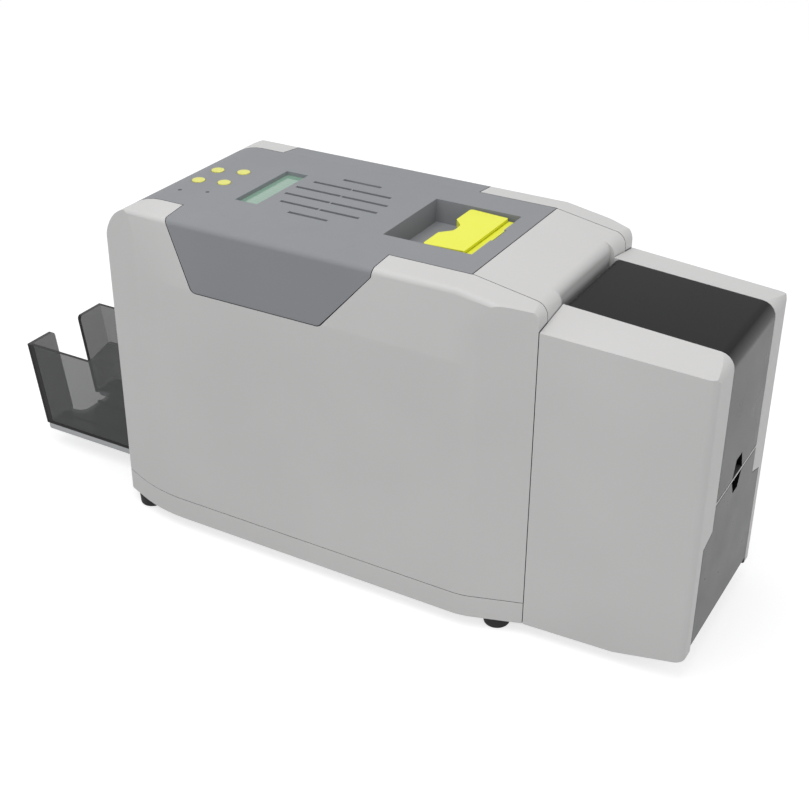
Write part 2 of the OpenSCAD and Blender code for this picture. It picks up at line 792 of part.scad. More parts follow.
module button_back_right() { button(2); }
module button_back_left() { button(3); }
module status_lights() {
    color("darkslategray") for (p = light_places)
        translate([p[0], p[1], board_z]) cylinder(r = light_r, h = top_z - board_z);
}
module lcd_window() {
    m = 1.5;
    color("palegreen") block(display_x - m, display_x + display_len + m, display_y - display_w / 2 - m,
        display_y + display_w / 2 + m, in_top - 1.5, in_top);
}
module lcd_module() {
    color("seagreen") block(display_x - 2, display_x + display_len + 1.9, display_y - display_w / 2 - 3,
        display_y + display_w / 2 + 3, board_z, in_top - 1.5);
}
module control_board() {
    color("seagreen")
        block(30, display_x + display_len + 2, -boss_y - 3.5, boss_y + 3.5, board_z - 1.6, board_z);
}
module fan_frame() {
    half = 29.5;
    low = in_top - 15;
    color("black") {
        difference() {
            translate([vent_x, 0, low]) linear_extrude(15)
                polygon(rounded([[-half, -half, 4], [half, -half, 4], [half, half, 4], [-half, half, 4]]));
            translate([vent_x, 0, low - 1]) cylinder(r = 28, h = 20);
        }
        translate([vent_x, 0, low]) difference() {
            union() {
                cylinder(r = 10, h = 1.5);
                for (a = [0, 120, 240]) rotate([0, 0, a]) translate([0, -1.5, 0]) cube([28.4, 3, 1.5]);
            }
        }
        translate([vent_x, 0, low]) cylinder(r = 1.5, h = 9);
    }
}
module fan_rotor() {
    low = in_top - 15 + 2;
    color("dimgray") translate([vent_x, 0, low]) difference() {
        union() {
            cylinder(r = 10, h = 10);
            for (a = [0:360 / 7:359]) rotate([0, 0, a]) translate([9, 0, 5]) rotate([35, 0, 0])
                translate([0, -5, -0.6]) cube([17.5, 10, 1.2]);
        }
        translate([0, 0, -1]) cylinder(r = 1.5 + run_fit, h = 9);
    }
}
module head_bracket() {
    low = in_top - 18.5;
    color("silver") {
        both_sides() block(head_x - 26, head_x + 6, 31, 33, low, in_top);
        block(head_x - 26, head_x + 6, -33, 33, low, low + 2);
        block(head_x - 2, head_x + 1, -28, 28, path_z + 20, low + 1);
    }
}
module print_head() {
    low = path_z + card_gap + film_t + 0.4;
    color("dimgray") {
        block(head_x - 9, head_x + 9, -29, 29, low + 4, path_z + 20);
        along_y(-29, 29) polygon([[head_x - 7, low + 4 + touch], [head_x - 2, low], [head_x + 2, low],
            [head_x + 7, low + 4 + touch]]);
    }
}
module cover_pins() {
    color("silver") {
        both_sides() rod(hinge[0], hinge[1], pin_r, plate_y - 8, lid_front_half - 2);
        rod(latch_axis[0], latch_axis[1], pin_r, -pocket_half - 2, pocket_half + 2);
    }
}
module cover_latch() {
    x0 = latch_x1 - latch_strip - latch_len;
    x1 = latch_x1 - latch_strip;
    a = latch_axis[0];
    notch = 11.5;
    color("yellow") difference() {
        union() {
            translate([0, 0, latch_top - latch_t]) linear_extrude(latch_t)
                polygon(rounded([[x0, -latch_half - 2, 2], [x1, -latch_half, 0.8], [x1, latch_half, 0.8],
                    [x0, latch_half + 2, 2], [x0, notch, 2], [x0 + 6.5, notch - 7, 4],
                    [x0 + 6.5, -notch + 7, 4], [x0, -notch, 2]]));
            block(x1 - touch, latch_x1, -latch_half, latch_half, latch_top - latch_t - 2, latch_top - 2);
            both_sides() rod(latch_axis[0], latch_axis[1], 3.6, latch_half - 6, latch_half);
            rod(latch_axis[0], latch_axis[1], 3.6, -hook_half, hook_half);
            both_sides() block(a - 3, a + 2.8, latch_half - 6, latch_half, latch_axis[1], latch_top - 3);
            block(a - 3, a + 2.8, -hook_half, hook_half, latch_axis[1], latch_top - 3);
            along_y(-hook_half, hook_half) polygon([[a - 1, latch_axis[1]], [a - 1, hook_z],
                [catch[0] + 0.4, hook_z], [catch[0] + 0.4, hook_z + hook_t], [a + 2.4, hook_z + hook_t],
                [a + 2.4, latch_axis[1]]]);
        }
        rod(latch_axis[0], latch_axis[1], pin_r + run_fit, -far, far);
        block(x1 - 0.9, x1 + 0.3, -far, far, latch_top - 3, latch_top - 1.9);
    }
}

// feeder
module feeder_side(t) {
    x1 = feeder_x1 - t;
    z1 = feeder_top - feeder_fall;
    polygon(rounded([[body_len - 20, base_z + t, 0], [rise_x, base_z + t, 0], [x1, low_edge + t, 1.5],
        [x1, z1 - t, feeder_corner_r - t],
        [body_len - 20, feeder_top - t + feeder_fall * 20 / feeder_len, 0]]));
}
module feeder_plan(t) {
    taper = (rear_half - feeder_end_half) / feeder_len;
    h0 = rear_half + 20 * taper - t;
    h1 = feeder_end_half - t;
    x1 = feeder_x1 - t;
    r = feeder_r - t;
    polygon(rounded([[body_len - 20, -h0, 0], [x1, -h1, r], [x1, h1, r], [body_len - 20, h0, 0]]));
}
// the feeder's top seen from its end: a roof whose lines meet the flat middle at ridge_half
module feeder_roof(t) {
    slope = feeder_edge_fall / (rear_half - ridge_half);
    h = rear_half + 5;
    z = feeder_top - t;
    polygon([[-h, 0], [-h, z - slope * (h - ridge_half)], [0, z + slope * ridge_half],
        [h, z - slope * (h - ridge_half)], [h, 0]]);
}
module feeder_env(t, x0) {
    intersection() {
        linear_extrude(far) feeder_plan(t);
        along_y(-far, far) feeder_side(t);
        translate([body_len, 0, feeder_top]) rotate([0, feeder_fall_a, 0]) translate([0, 0, -feeder_top])
            along_x(-30, far) feeder_roof(t);
        block(x0, far, -far, far, 0, far);
    }
}
// outline of the service door, moved in by g; low and top are its lower and upper edge
module door_outline(g, low, top) {
    k = (slant_high - slant_low) / (bin_half - well_half);
    drop = g * (sqrt(1 + k * k) - k);
    b = bin_half - g;
    w = well_half - g;
    polygon([[-b, low], [b, low], [b, slant_low - drop], [w, slant_high - drop], [w, top], [-w, top],
        [-w, slant_high - drop], [-b, slant_low - drop]]);
}
module feeder_shell() {
    inner = well_half + wall;
    end_x = feeder_x1 - door_t - 0.6;
    difference() {
        feeder_env(0, body_len + seam);
        difference() {
            feeder_env(wall, body_len + seam - touch);
            block(0, far, -inner, inner, bin_top - wall, far);
            block(feeder_x1 - 12, far, -far, far, bin_top - wall, bin_top);
        }
        along_x(end_x - touch, far) door_outline(0, 0, bar_z);
        block(0, far, -well_half, well_half, bar_z + 1.4, far);
        block(0, end_x, -well_half, well_half, low_edge + wall, far);
        block(body_len + 20, end_x, -bin_half, bin_half, low_edge + wall, bin_top - wall);
        rod(cover_axis[0], cover_axis[1], pin_r + run_fit, -inner - 1, inner + 1);
        rod(door_axis[0], door_axis[1], 1.2 + run_fit, -bin_half - 2.2, bin_half + 2.2);
        rod(pick_x, axle_z, shaft_r + run_fit, -inner - 1, inner + 1);
    }
}
module feeder_housing() {
    color("gainsboro") {
        feeder_shell();
        intersection() {
            difference() {
                feeder_env(wall - touch, body_len - 4);
                feeder_env(wall + 1.6, body_len - 5);
            }
            along_x(body_len - 4, body_len + 4) body_front_clear();
        }
    }
}
module body_front_clear() {
    h = rear_half - wall;
    polygon([[-h, base_z + wall], [-h, rear_open_z], [h, rear_open_z], [h, base_z + wall]]);
}
module hopper_liner() {
    low = floor_z - 2.5;
    z1 = feeder_top - 14;
    color("dimgray") {
        difference() {
            block(liner_x, feeder_x1 - 6, -well_half, well_half, low, floor_z);
            block(pick_x - tyre_r - 2, pick_x + tyre_r + 2, -20, 20, 0, far);
        }
        block(liner_x, liner_x + liner_t, -well_half, well_half, floor_z + 4, z1);
        both_sides() difference() {
            union() {
                block(liner_x + 1, feeder_x1 - 8, liner_half, liner_half + liner_t, floor_z - 1, z1);
                for (x = [liner_x + 20, liner_x + 60])
                    block(x, x + 2, liner_half + 1, well_half, floor_z - 1, z1 - 1);
            }
            block(liner_x + 30, liner_x + 56, liner_half - 1, liner_half + 3, floor_z + 30, far);
        }
    }
}
module hopper_cover() {
    h = well_half - cover_gap;
    color("dimgray") difference() {
        union() {
            intersection() {
                difference() {
                    feeder_env(0, cover_axis[0]);
                    feeder_env(wall, 0);
                }
                block(cover_axis[0], far, -h, h, cover_low, far);
            }
            rod(cover_axis[0], cover_axis[1], cover_barrel_r, -h, h);
            rod(cover_axis[0], cover_axis[1], pin_r, -well_half - wall + 0.3, well_half + wall - 0.3);
            both_sides() intersection() {
                feeder_env(wall - touch, 0);
                difference() {
                    block(cover_axis[0] + 5, far, h - 2, h, feeder_top - 16, far);
                    feeder_env(wall + 4, 0);
                }
            }
        }
        translate([0, 0, cover_low]) along_x(feeder_x1 - 20, far)
            polygon([[-9, -1], [9, -1], [5, 11], [-5, 11]]);
    }
}
module card_weight() {
    h = liner_half - 0.6;
    z0 = floor_z + 0.8;
    color("black") difference() {
        union() {
            block(liner_x + liner_t + 1, feeder_x1 - 10, -h, h, z0, z0 + 6);
            block(liner_x + 26, liner_x + 60, -10, 10, z0 + 5, z0 + 16);
        }
        block(liner_x + 32, liner_x + 54, -20, 20, z0 + 6, z0 + 12);
    }
}
module service_door() {
    low = door_axis[1];
    top = bar_z - 0.5;
    h = bin_half - door_gap;
    color("gray") {
        difference() {
            along_x(feeder_x1 - door_t, feeder_x1) door_outline(door_gap, low, top);
            along_x(feeder_x1 - 5, far)
                polygon([[-9, top + 1], [-4, top - 9.5], [4, top - 9.5], [9, top + 1]]);
        }
        rod(door_axis[0], door_axis[1], door_t / 2, -h, h);
        rod(door_axis[0], door_axis[1], 1.2, -bin_half - 2, bin_half + 2);
    }
}

// output tray
module tray_side_outline() {
    polygon([[-tray_len, tray_low], [-51, tray_low], [-31, tray_high - 1.8], [0, tray_high], [0, tray_floor],
        [tray_end_x, tray_floor]]);
}
// gap in the end wall, with rounded upper corners
module tray_wall_gap() {
    g = tray_gap_half;
    r = 3;
    along_x(-tray_len - 8, tray_end_x + wall + 2) polygon(concat([[-g, tray_z - 1], [g, tray_z - 1]],
        arc_points([g + r, tray_low - r], r, 180, 90, 4), [[g + r, tray_low + 1], [-g - r, tray_low + 1]],
        arc_points([-g - r, tray_low - r], r, 90, 0, 4)));
}
module tray_floor_gap(x0, z0, z1) {
    x1 = tray_end_x + floor_gap_len;
    y = floor_gap_half;
    translate([0, 0, z0]) linear_extrude(z1 - z0)
        polygon(rounded([[x0, -y, 0], [x1, -y, 7], [x1, y, 7], [x0, y, 0]]));
}
module output_tray() {
    rib_h = 1.2;
    color("gray") difference() {
        along_y(-tray_half, tray_half) tray_side_outline();
        difference() {
            translate([wall, 0, wall]) along_y(-tray_half + wall, tray_half - wall) union() {
                tray_side_outline();
                polygon([[-tray_len, tray_low - 1], [20, tray_low - 1], [20, far], [-tray_len, far]]);
                polygon([[-10, tray_floor], [20, tray_floor], [20, far], [-10, far]]);
            }
            for (y = [-26, 0, 26]) block(-tray_len, 0, y - 1, y + 1, tray_floor, tray_floor + wall + rib_h);
        }
        tray_wall_gap();
        tray_floor_gap(tray_end_x + wall, tray_floor - 1, tray_floor + wall + rib_h + 0.1);
    }
}
module tray_base() {
    color("gray") difference() {
        intersection() {
            translate([0, 0, tray_z]) linear_extrude(tray_base_t)
                polygon(rounded([[tray_end_x, -tray_half, 3], [0, -tray_half, 0], [0, tray_half, 0],
                    [tray_end_x, tray_half, 3]]));
            along_y(-far, far) polygon(rounded([[tray_end_x, tray_z, 3], [1, tray_z, 0],
                [1, tray_floor + 1, 0], [tray_end_x, tray_floor + 1, 0]]));
        }
        tray_floor_gap(tray_end_x - 5, tray_z - 1, tray_floor + 1);
    }
}

// sockets and switch on the left flank
module io_plate() {
    y1 = io_y;
    s = switch_at;
    color("dimgray") difference() {
        union() {
            block(io_x - 3, io_x + io_len + 3, y1 - 2, y1, io_z - 3, io_z + io_h + 3);
            block(s[0] - 8, s[0] + 8, y1 - 14, y1 - 1, s[2] - 12, s[2] + 12);
        }
        block(s[0] - 5.5, s[0] + 5.5, y1 - 12, far, s[2] - 9.6, s[2] + 9.6);
        translate([s[0] - 9, s[1] - 3, s[2]]) rotate([0, 90, 0]) cylinder(r = 1.2 + run_fit, h = 18);
        block(io_x + 3, io_x + 29, 0, far, io_z + 8, io_z + 30);
        block(io_x + 32, io_x + 39, 0, far, io_z + 12, io_z + 24);
    }
}
module power_inlet() {
    y1 = io_y + 1;
    color("black") difference() {
        block(io_x + 3, io_x + 29, y1 - 18, y1, io_z + 8, io_z + 30);
        block(io_x + 5.5, io_x + 26.5, y1 - 12, far, io_z + 11, io_z + 27);
    }
    color("silver") for (dx = [-5, 0, 5])
        block(io_x + 15.2 + dx, io_x + 16.8 + dx, y1 - 13, y1 - 3, io_z + 17, io_z + 21);
}
module usb_socket() {
    y1 = io_y + 1;
    color("silver") difference() {
        block(io_x + 32, io_x + 39, y1 - 16, y1, io_z + 12, io_z + 24);
        block(io_x + 32.8, io_x + 38.2, y1 - 12, far, io_z + 12.8, io_z + 23.2);
    }
    color("white") block(io_x + 34.6, io_x + 36.4, y1 - 13, y1 - 2, io_z + 15, io_z + 21);
}
module power_switch() {
    s = switch_at;
    color("black") translate([s[0], s[1] - 3, s[2]]) {
        rotate([90, 0, 90]) translate([0, 0, -5]) linear_extrude(10)
            polygon([[-3, -4], [3, -8.4], [4.6, -7.6], [2.6, 0.4], [1.2, 8.6], [-0.6, 8.8], [-3, 4]]);
        translate([-7, 0, 0]) rotate([0, 90, 0]) cylinder(r = 1.2, h = 14);
    }
}

module place() { translate([-mid_x, 0, 0]) children(); }

place() base_pan();
place() rubber_feet();
place() case_screws();
place() right_side_cover();
place() left_side_cover();
place() front_panel();
place() rear_deck();
place() right_side_plate();
place() left_side_plate();
place() tie_rods();
place() card_guides();
place() shaft_bushes();
place() main_board();
place() power_supply();
place() main_motor();
place() ribbon_motor();
place() path_belt();
place() pick_belt();
place() motor_belt();
place() ribbon_cartridge();
place() ribbon_film();
place() output_tray();
place() tray_base();
place() feeder_housing();
place() hopper_liner();
place() io_plate();
place() power_inlet();
place() usb_socket();
place() top_cover();
place() lcd_window();
place() lcd_module();
place() control_board();
place() status_lights();
place() fan_frame();
place() head_bracket();
place() print_head();
place() cover_pins();
place() cover_latch();
place() button_front_right();
place() button_front_left();
place() button_back_right();
place() button_back_left();
place() fan_rotor();
place() motor_pulley();
place() pick_roller();
place() feed_shaft();
place() feed_tyres();
place() platen_shaft();
place() platen_tyre();
place() exit_roller();
place() pinch_in_roller();
place() pinch_out_roller();
place() cleaning_roller();
place() supply_spool();
place() takeup_spool();
place() takeup_drive();
place() hopper_cover();
place() card_weight();
place() service_door();
place() power_switch();
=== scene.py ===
# %% [markdown]
# # A desktop card printer, dressed for the camera
# The solid model gives every piece its exact size and place. This lesson turns those bare solids into
# moulded plastic, smoked covers, rubber, steel and circuit board. Each step first says what the real thing
# is like, then makes it. Everything is in metres, in the model's own frame: +X runs towards the card
# hopper, +Y towards the sockets, and z = 0 is the table.

# %% Load the solid model
import json
import math

import bmesh
import bpy
from mathutils import Matrix, Vector
from mathutils.bvhtree import BVHTree


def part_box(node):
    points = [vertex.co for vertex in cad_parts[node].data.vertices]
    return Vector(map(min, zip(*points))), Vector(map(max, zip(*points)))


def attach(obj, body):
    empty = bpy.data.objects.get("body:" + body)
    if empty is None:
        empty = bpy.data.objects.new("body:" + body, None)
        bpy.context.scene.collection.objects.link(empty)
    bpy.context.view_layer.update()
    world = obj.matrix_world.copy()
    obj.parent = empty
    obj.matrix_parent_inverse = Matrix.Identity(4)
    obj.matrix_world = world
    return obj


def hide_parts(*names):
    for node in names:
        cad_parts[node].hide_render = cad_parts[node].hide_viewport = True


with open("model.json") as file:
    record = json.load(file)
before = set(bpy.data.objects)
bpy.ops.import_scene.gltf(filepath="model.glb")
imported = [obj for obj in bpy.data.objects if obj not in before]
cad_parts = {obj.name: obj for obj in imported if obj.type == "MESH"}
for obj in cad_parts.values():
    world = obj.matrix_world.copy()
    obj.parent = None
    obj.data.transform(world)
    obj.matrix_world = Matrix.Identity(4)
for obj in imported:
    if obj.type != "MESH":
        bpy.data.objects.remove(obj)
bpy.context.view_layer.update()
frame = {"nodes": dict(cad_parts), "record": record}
nodes = frame["nodes"]
MM = 0.001

# %% [markdown]
# ## The camera
# The photograph was taken from the right, behind and above, about a metre away, with a longish lens that
# keeps the edges nearly parallel. The camera is given by its place and by three angles, and its matrix is
# built from them: right, up and backwards are its columns.

# %% Helper: a new object in the scene


def in_scene(name, data):
    """A new object with this data, linked to the scene."""
    thing = bpy.data.objects.new(name, data)
    bpy.context.scene.collection.objects.link(thing)
    return thing


# %% Place the camera
CAMERA_PLACE = Vector((0.42249, -0.68755, 0.54126))
CAMERA_YAW = math.radians(29.43)
CAMERA_PITCH = math.radians(29.43)
CAMERA_ROLL = math.radians(0.38)
CAMERA_LENS = 62.8  # mm, on a 36 mm wide frame


def camera_matrix(place, yaw, pitch, roll):
    """The matrix of a camera that looks along yaw (left of +Y), down by pitch, turned by roll."""
    forward = Vector((-math.sin(yaw) * math.cos(pitch), math.cos(yaw) * math.cos(pitch), -math.sin(pitch)))
    right = Vector((math.cos(yaw), math.sin(yaw), 0.0))
    up = right.cross(forward)
    turned_right = math.cos(roll) * right + math.sin(roll) * up
    turned_up = math.cos(roll) * up - math.sin(roll) * right
    matrix = Matrix((turned_right, turned_up, -forward)).transposed().to_4x4()
    matrix.translation = place
    return matrix


camera_data = bpy.data.cameras.new("studio_camera")
camera_data.lens = CAMERA_LENS
camera_data.sensor_width = 36.0
camera_data.sensor_fit = "HORIZONTAL"
camera = in_scene("studio_camera", camera_data)
camera.matrix_world = camera_matrix(CAMERA_PLACE, CAMERA_YAW, CAMERA_PITCH, CAMERA_ROLL)
bpy.context.scene.camera = camera
print("camera at", tuple(round(c, 3) for c in camera.matrix_world.translation))

# %% [markdown]
# ## Light, background and floor
# The photograph is a plain studio picture: a white ground, soft light from above, and a flank about two
# thirds as bright as the top. A pale world lights everything evenly, and three large soft lamps lift the
# top, the near flank and the hopper's end. The background is white only where a camera, glossy or
# transmission ray meets it, so it adds no light to the object.

# %% Helpers for building node trees


def new_tree(name):
    """A new material with an empty node tree and its output node."""
    material = bpy.data.materials.new(name)
    material.use_nodes = True
    tree = material.node_tree
    tree.nodes.clear()
    return material, tree, tree.nodes.new("ShaderNodeOutputMaterial")


def add_node(tree, kind, values=None, **settings):
    """A node with its settings, and plain values on its named inputs."""
    node = tree.nodes.new(kind)
    for name, value in settings.items():
        setattr(node, name, value)
    for name, value in (values or {}).items():
        node.inputs[name].default_value = value
    return node


def seen_directly(tree):
    """A value that is 1 for camera, glossy and transmission rays, and 0 for light that falls on surfaces."""
    path = tree.nodes.new("ShaderNodeLightPath")
    first = add_node(tree, "ShaderNodeMath", operation="MAXIMUM")
    second = add_node(tree, "ShaderNodeMath", operation="MAXIMUM")
    tree.links.new(path.outputs["Is Camera Ray"], first.inputs[0])
    tree.links.new(path.outputs["Is Glossy Ray"], first.inputs[1])
    tree.links.new(first.outputs[0], second.inputs[0])
    tree.links.new(path.outputs["Is Transmission Ray"], second.inputs[1])
    return second.outputs[0]


# %% Make the world
WORLD_LIGHT = 0.56
WORLD_TINT = (0.985, 0.99, 1.0, 1.0)
WHITE = (1.0, 1.0, 1.0, 1.0)
world = bpy.data.worlds.new("studio_world")
bpy.context.scene.world = world
world.use_nodes = True
sky = world.node_tree
sky.nodes.clear()
sky_out = sky.nodes.new("ShaderNodeOutputWorld")
sky_mix = sky.nodes.new("ShaderNodeMixShader")
sky_light = add_node(sky, "ShaderNodeBackground", {"Color": WORLD_TINT, "Strength": WORLD_LIGHT})
sky_white = add_node(sky, "ShaderNodeBackground", {"Color": WHITE, "Strength": 1.0})
sky.links.new(seen_directly(sky), sky_mix.inputs[0])
sky.links.new(sky_light.outputs[0], sky_mix.inputs[1])
sky.links.new(sky_white.outputs[0], sky_mix.inputs[2])
sky.links.new(sky_mix.outputs[0], sky_out.inputs[0])
print("world:", world.name, "at a strength of", WORLD_LIGHT)

# %% Hang the lamps


def soft_lamp(name, place, target, size, power):
    """A square area lamp that faces its target. Its size is in metres, its power in watts."""
    data = bpy.data.lights.new(name, "AREA")
    data.shape = "SQUARE"
    data.size = size
    data.energy = power
    lamp = in_scene(name, data)
    lamp.location = place
    lamp.rotation_mode = "QUATERNION"
    lamp.rotation_quaternion = (Vector(target) - Vector(place)).to_track_quat("-Z", "Y")


PRINTER_MIDDLE = (0.0, 0.0, 0.1)
HOPPER_MIDDLE = (0.1, 0.0, 0.1)
soft_lamp("top_lamp", (-0.1, -0.5, 1.7), PRINTER_MIDDLE, size=1.3, power=11.8)
soft_lamp("side_lamp", (0.1, -1.7, 0.9), PRINTER_MIDDLE, size=1.2, power=3.4)
soft_lamp("end_lamp", (1.6, -0.4, 0.8), HOPPER_MIDDLE, size=1.0, power=3.0)

# %% Lay the floor
FLOOR_HALF = 6.0
FLOOR_GREY = (0.45, 0.45, 0.45, 1.0)
FLOOR_GLOW = 0.70  # lifts the lit floor to white where it is seen, and leaves the shadow
floor_mesh = bpy.data.meshes.new("studio_floor")
floor_corners = [(x * FLOOR_HALF, y * FLOOR_HALF, 0.0) for x, y in ((-1, -1), (1, -1), (1, 1), (-1, 1))]
floor_mesh.from_pydata(floor_corners, [], [(0, 1, 2, 3)])
floor = in_scene("studio_floor", floor_mesh)
floor_material, floor_tree, floor_out = new_tree("pale floor")
floor_diffuse = add_node(floor_tree, "ShaderNodeBsdfDiffuse", {"Color": FLOOR_GREY})
floor_glow = add_node(floor_tree, "ShaderNodeEmission", {"Color": WHITE})
floor_level = add_node(floor_tree, "ShaderNodeMath", operation="MULTIPLY")
floor_level.inputs[1].default_value = FLOOR_GLOW
floor_add = floor_tree.nodes.new("ShaderNodeAddShader")
floor_tree.links.new(seen_directly(floor_tree), floor_level.inputs[0])
floor_tree.links.new(floor_level.outputs[0], floor_glow.inputs["Strength"])
floor_tree.links.new(floor_diffuse.outputs[0], floor_add.inputs[0])
floor_tree.links.new(floor_glow.outputs[0], floor_add.inputs[1])
floor_tree.links.new(floor_add.outputs[0], floor_out.inputs[0])
floor_mesh.materials.append(floor_material)
bpy.context.scene.view_settings.view_transform = "Standard"
print("floor:", 2 * FLOOR_HALF, "m wide")

# %% [markdown]
# ## Shared surface effects
# Injection-moulded plastic is never a flat colour. Its mould was spark-eroded, which leaves a fine even
# grain, the colour drifts a little over a long wall, and dust dulls the faces that look up. These effects are
# node groups with named inputs, so each plastic places them with its own values.

# %% Helper: an empty shader group


def group_tree(name, inputs, outputs):
    """A shader group with named sockets: inputs are (name, kind, value), outputs (name, kind)."""
    tree = bpy.data.node_groups.new(name, "ShaderNodeTree")
    for socket, kind, value in inputs:
        made = tree.interface.new_socket(socket, in_out="INPUT", socket_type=kind)
        made.default_value = value
    for socket, kind in outputs:
        tree.interface.new_socket(socket, in_out="OUTPUT", socket_type=kind)
    return tree, tree.nodes.new("NodeGroupInput"), tree.nodes.new("NodeGroupOutput")


FLOAT, COLOUR, VECTOR = "NodeSocketFloat", "NodeSocketColor", "NodeSocketVector"
MID_GREY = (0.6, 0.6, 0.6, 1.0)  # any group's colour until a recipe sets its own

# %% Group: moulded grain
FINE_GRAIN = 2600.0  # noise cells in a metre
GRAIN_HEIGHT = 0.00002  # metres
GRAIN_ROUGHNESS = 0.10  # the most that the grain adds to the roughness


def make_grain_group():
    """Fine eroded grain in the normal, and a slow drift in colour and roughness."""
    tree, given, result = group_tree(
        "moulded grain",
        [("Colour", COLOUR, MID_GREY), ("Grain per metre", FLOAT, FINE_GRAIN),
         ("Grain height", FLOAT, GRAIN_HEIGHT), ("Drift", FLOAT, 0.04), ("Roughness", FLOAT, 0.5)],
        [("Colour", COLOUR), ("Roughness", FLOAT), ("Normal", VECTOR)],
    )
    place = tree.nodes.new("ShaderNodeTexCoord")
    grain = add_node(tree, "ShaderNodeTexNoise", {"Detail": 3.0, "Roughness": 0.6})
    drift = add_node(tree, "ShaderNodeTexNoise", {"Scale": 9.0, "Detail": 2.0})
    spread = add_node(tree, "ShaderNodeMapRange",
                      {"From Min": 0.3, "From Max": 0.7, "To Min": -1.0, "To Max": 1.0})
    amount = add_node(tree, "ShaderNodeMath", operation="MULTIPLY")
    level = add_node(tree, "ShaderNodeMath", operation="ADD")
    level.inputs[1].default_value = 1.0
    tint = add_node(tree, "ShaderNodeVectorMath", operation="SCALE")
    bump = add_node(tree, "ShaderNodeBump", {"Strength": 1.0})
    rough_step = add_node(tree, "ShaderNodeMath", operation="MULTIPLY_ADD")
    rough_step.inputs[1].default_value = GRAIN_ROUGHNESS
    link = tree.links.new
    link(place.outputs["Object"], grain.inputs["Vector"])
    link(place.outputs["Object"], drift.inputs["Vector"])
    link(given.outputs["Grain per metre"], grain.inputs["Scale"])
    link(drift.outputs[0], spread.inputs["Value"])
    link(spread.outputs[0], amount.inputs[0])
    link(given.outputs["Drift"], amount.inputs[1])
    link(amount.outputs[0], level.inputs[0])
    link(given.outputs["Colour"], tint.inputs[0])
    link(level.outputs[0], tint.inputs["Scale"])
    link(tint.outputs[0], result.inputs["Colour"])
    link(grain.outputs[0], rough_step.inputs[0])
    link(given.outputs["Roughness"], rough_step.inputs[2])
    link(rough_step.outputs[0], result.inputs["Roughness"])
    link(grain.outputs[0], bump.inputs["Height"])
    link(given.outputs["Grain height"], bump.inputs["Distance"])
    link(bump.outputs[0], result.inputs["Normal"])
    return tree


grain_group = make_grain_group()
print("group:", grain_group.name, "with", len(grain_group.nodes), "nodes")

# %% Group: settled dust
DUST_COLOUR = (0.62, 0.60, 0.57, 1.0)
DUST_ROUGHNESS = 0.9


def make_dust_group():
    """A thin film of dust on faces that look up: it lightens the colour and dulls the gloss."""
    tree, given, result = group_tree(
        "settled dust",
        [("Colour", COLOUR, MID_GREY), ("Roughness", FLOAT, 0.5), ("Amount", FLOAT, 0.1)],
        [("Colour", COLOUR), ("Roughness", FLOAT)],
    )
    shape = tree.nodes.new("ShaderNodeNewGeometry")
    parts = tree.nodes.new("ShaderNodeSeparateXYZ")
    place = tree.nodes.new("ShaderNodeTexCoord")
    patches = add_node(tree, "ShaderNodeTexNoise", {"Scale": 60.0, "Detail": 5.0, "Roughness": 0.7})
    upward = add_node(tree, "ShaderNodeMapRange", {"From Min": 0.2, "From Max": 1.0})
    where = add_node(tree, "ShaderNodeMath", operation="MULTIPLY")
    film = add_node(tree, "ShaderNodeMath", operation="MULTIPLY")
    paint = add_node(tree, "ShaderNodeMix", data_type="RGBA")
    paint.inputs["B"].default_value = DUST_COLOUR
    dull = add_node(tree, "ShaderNodeMix", data_type="FLOAT")
    dull.inputs["B"].default_value = DUST_ROUGHNESS
    link = tree.links.new
    link(shape.outputs["Normal"], parts.inputs[0])
    link(parts.outputs["Z"], upward.inputs["Value"])
    link(place.outputs["Object"], patches.inputs["Vector"])
    link(upward.outputs[0], where.inputs[0])
    link(patches.outputs[0], where.inputs[1])
    link(where.outputs[0], film.inputs[0])
    link(given.outputs["Amount"], film.inputs[1])
    link(film.outputs[0], paint.inputs["Factor"])
    link(given.outputs["Colour"], paint.inputs["A"])
    link(paint.outputs["Result"], result.inputs["Colour"])
    link(film.outputs[0], dull.inputs["Factor"])
    link(given.outputs["Roughness"], dull.inputs["A"])
    link(dull.outputs["Result"], result.inputs["Roughness"])
    return tree


dust_group = make_dust_group()
print("group:", dust_group.name, "with", len(dust_group.nodes), "nodes")

# %% [markdown]
# ## Plastics
# One recipe covers every opaque plastic on the printer: grain, then dust, then a Principled shader. Where two
# mouldings meet, the narrow gap between them lies in shade and reads as a dark line. Those faces carry an
# attribute named covered, measured further down, and the recipe darkens them with painted shade. Colours are
# written as the screen shows them and turned to the shader's linear values by a small helper.

# %% Helper: colours as the screen shows them


def screen_colour(red, green, blue):
    """A colour given as 0 to 255 on screen, in the linear values that shaders use."""
    def linear(value):
        value /= 255.0
        return value / 12.92 if value <= 0.04045 else ((value + 0.055) / 1.055) ** 2.4

    return (linear(red), linear(green), linear(blue), 1.0)


print("mid screen grey in shader values:", round(screen_colour(128, 128, 128)[0], 3))

# %% Recipe for opaque plastics
# Painted shade in the gaps between mouldings: a covered face keeps this share of its colour.
GAP_DARKNESS = 0.12  # a gap's share of the plastic's own colour
COLOUR_DRIFT = 0.03


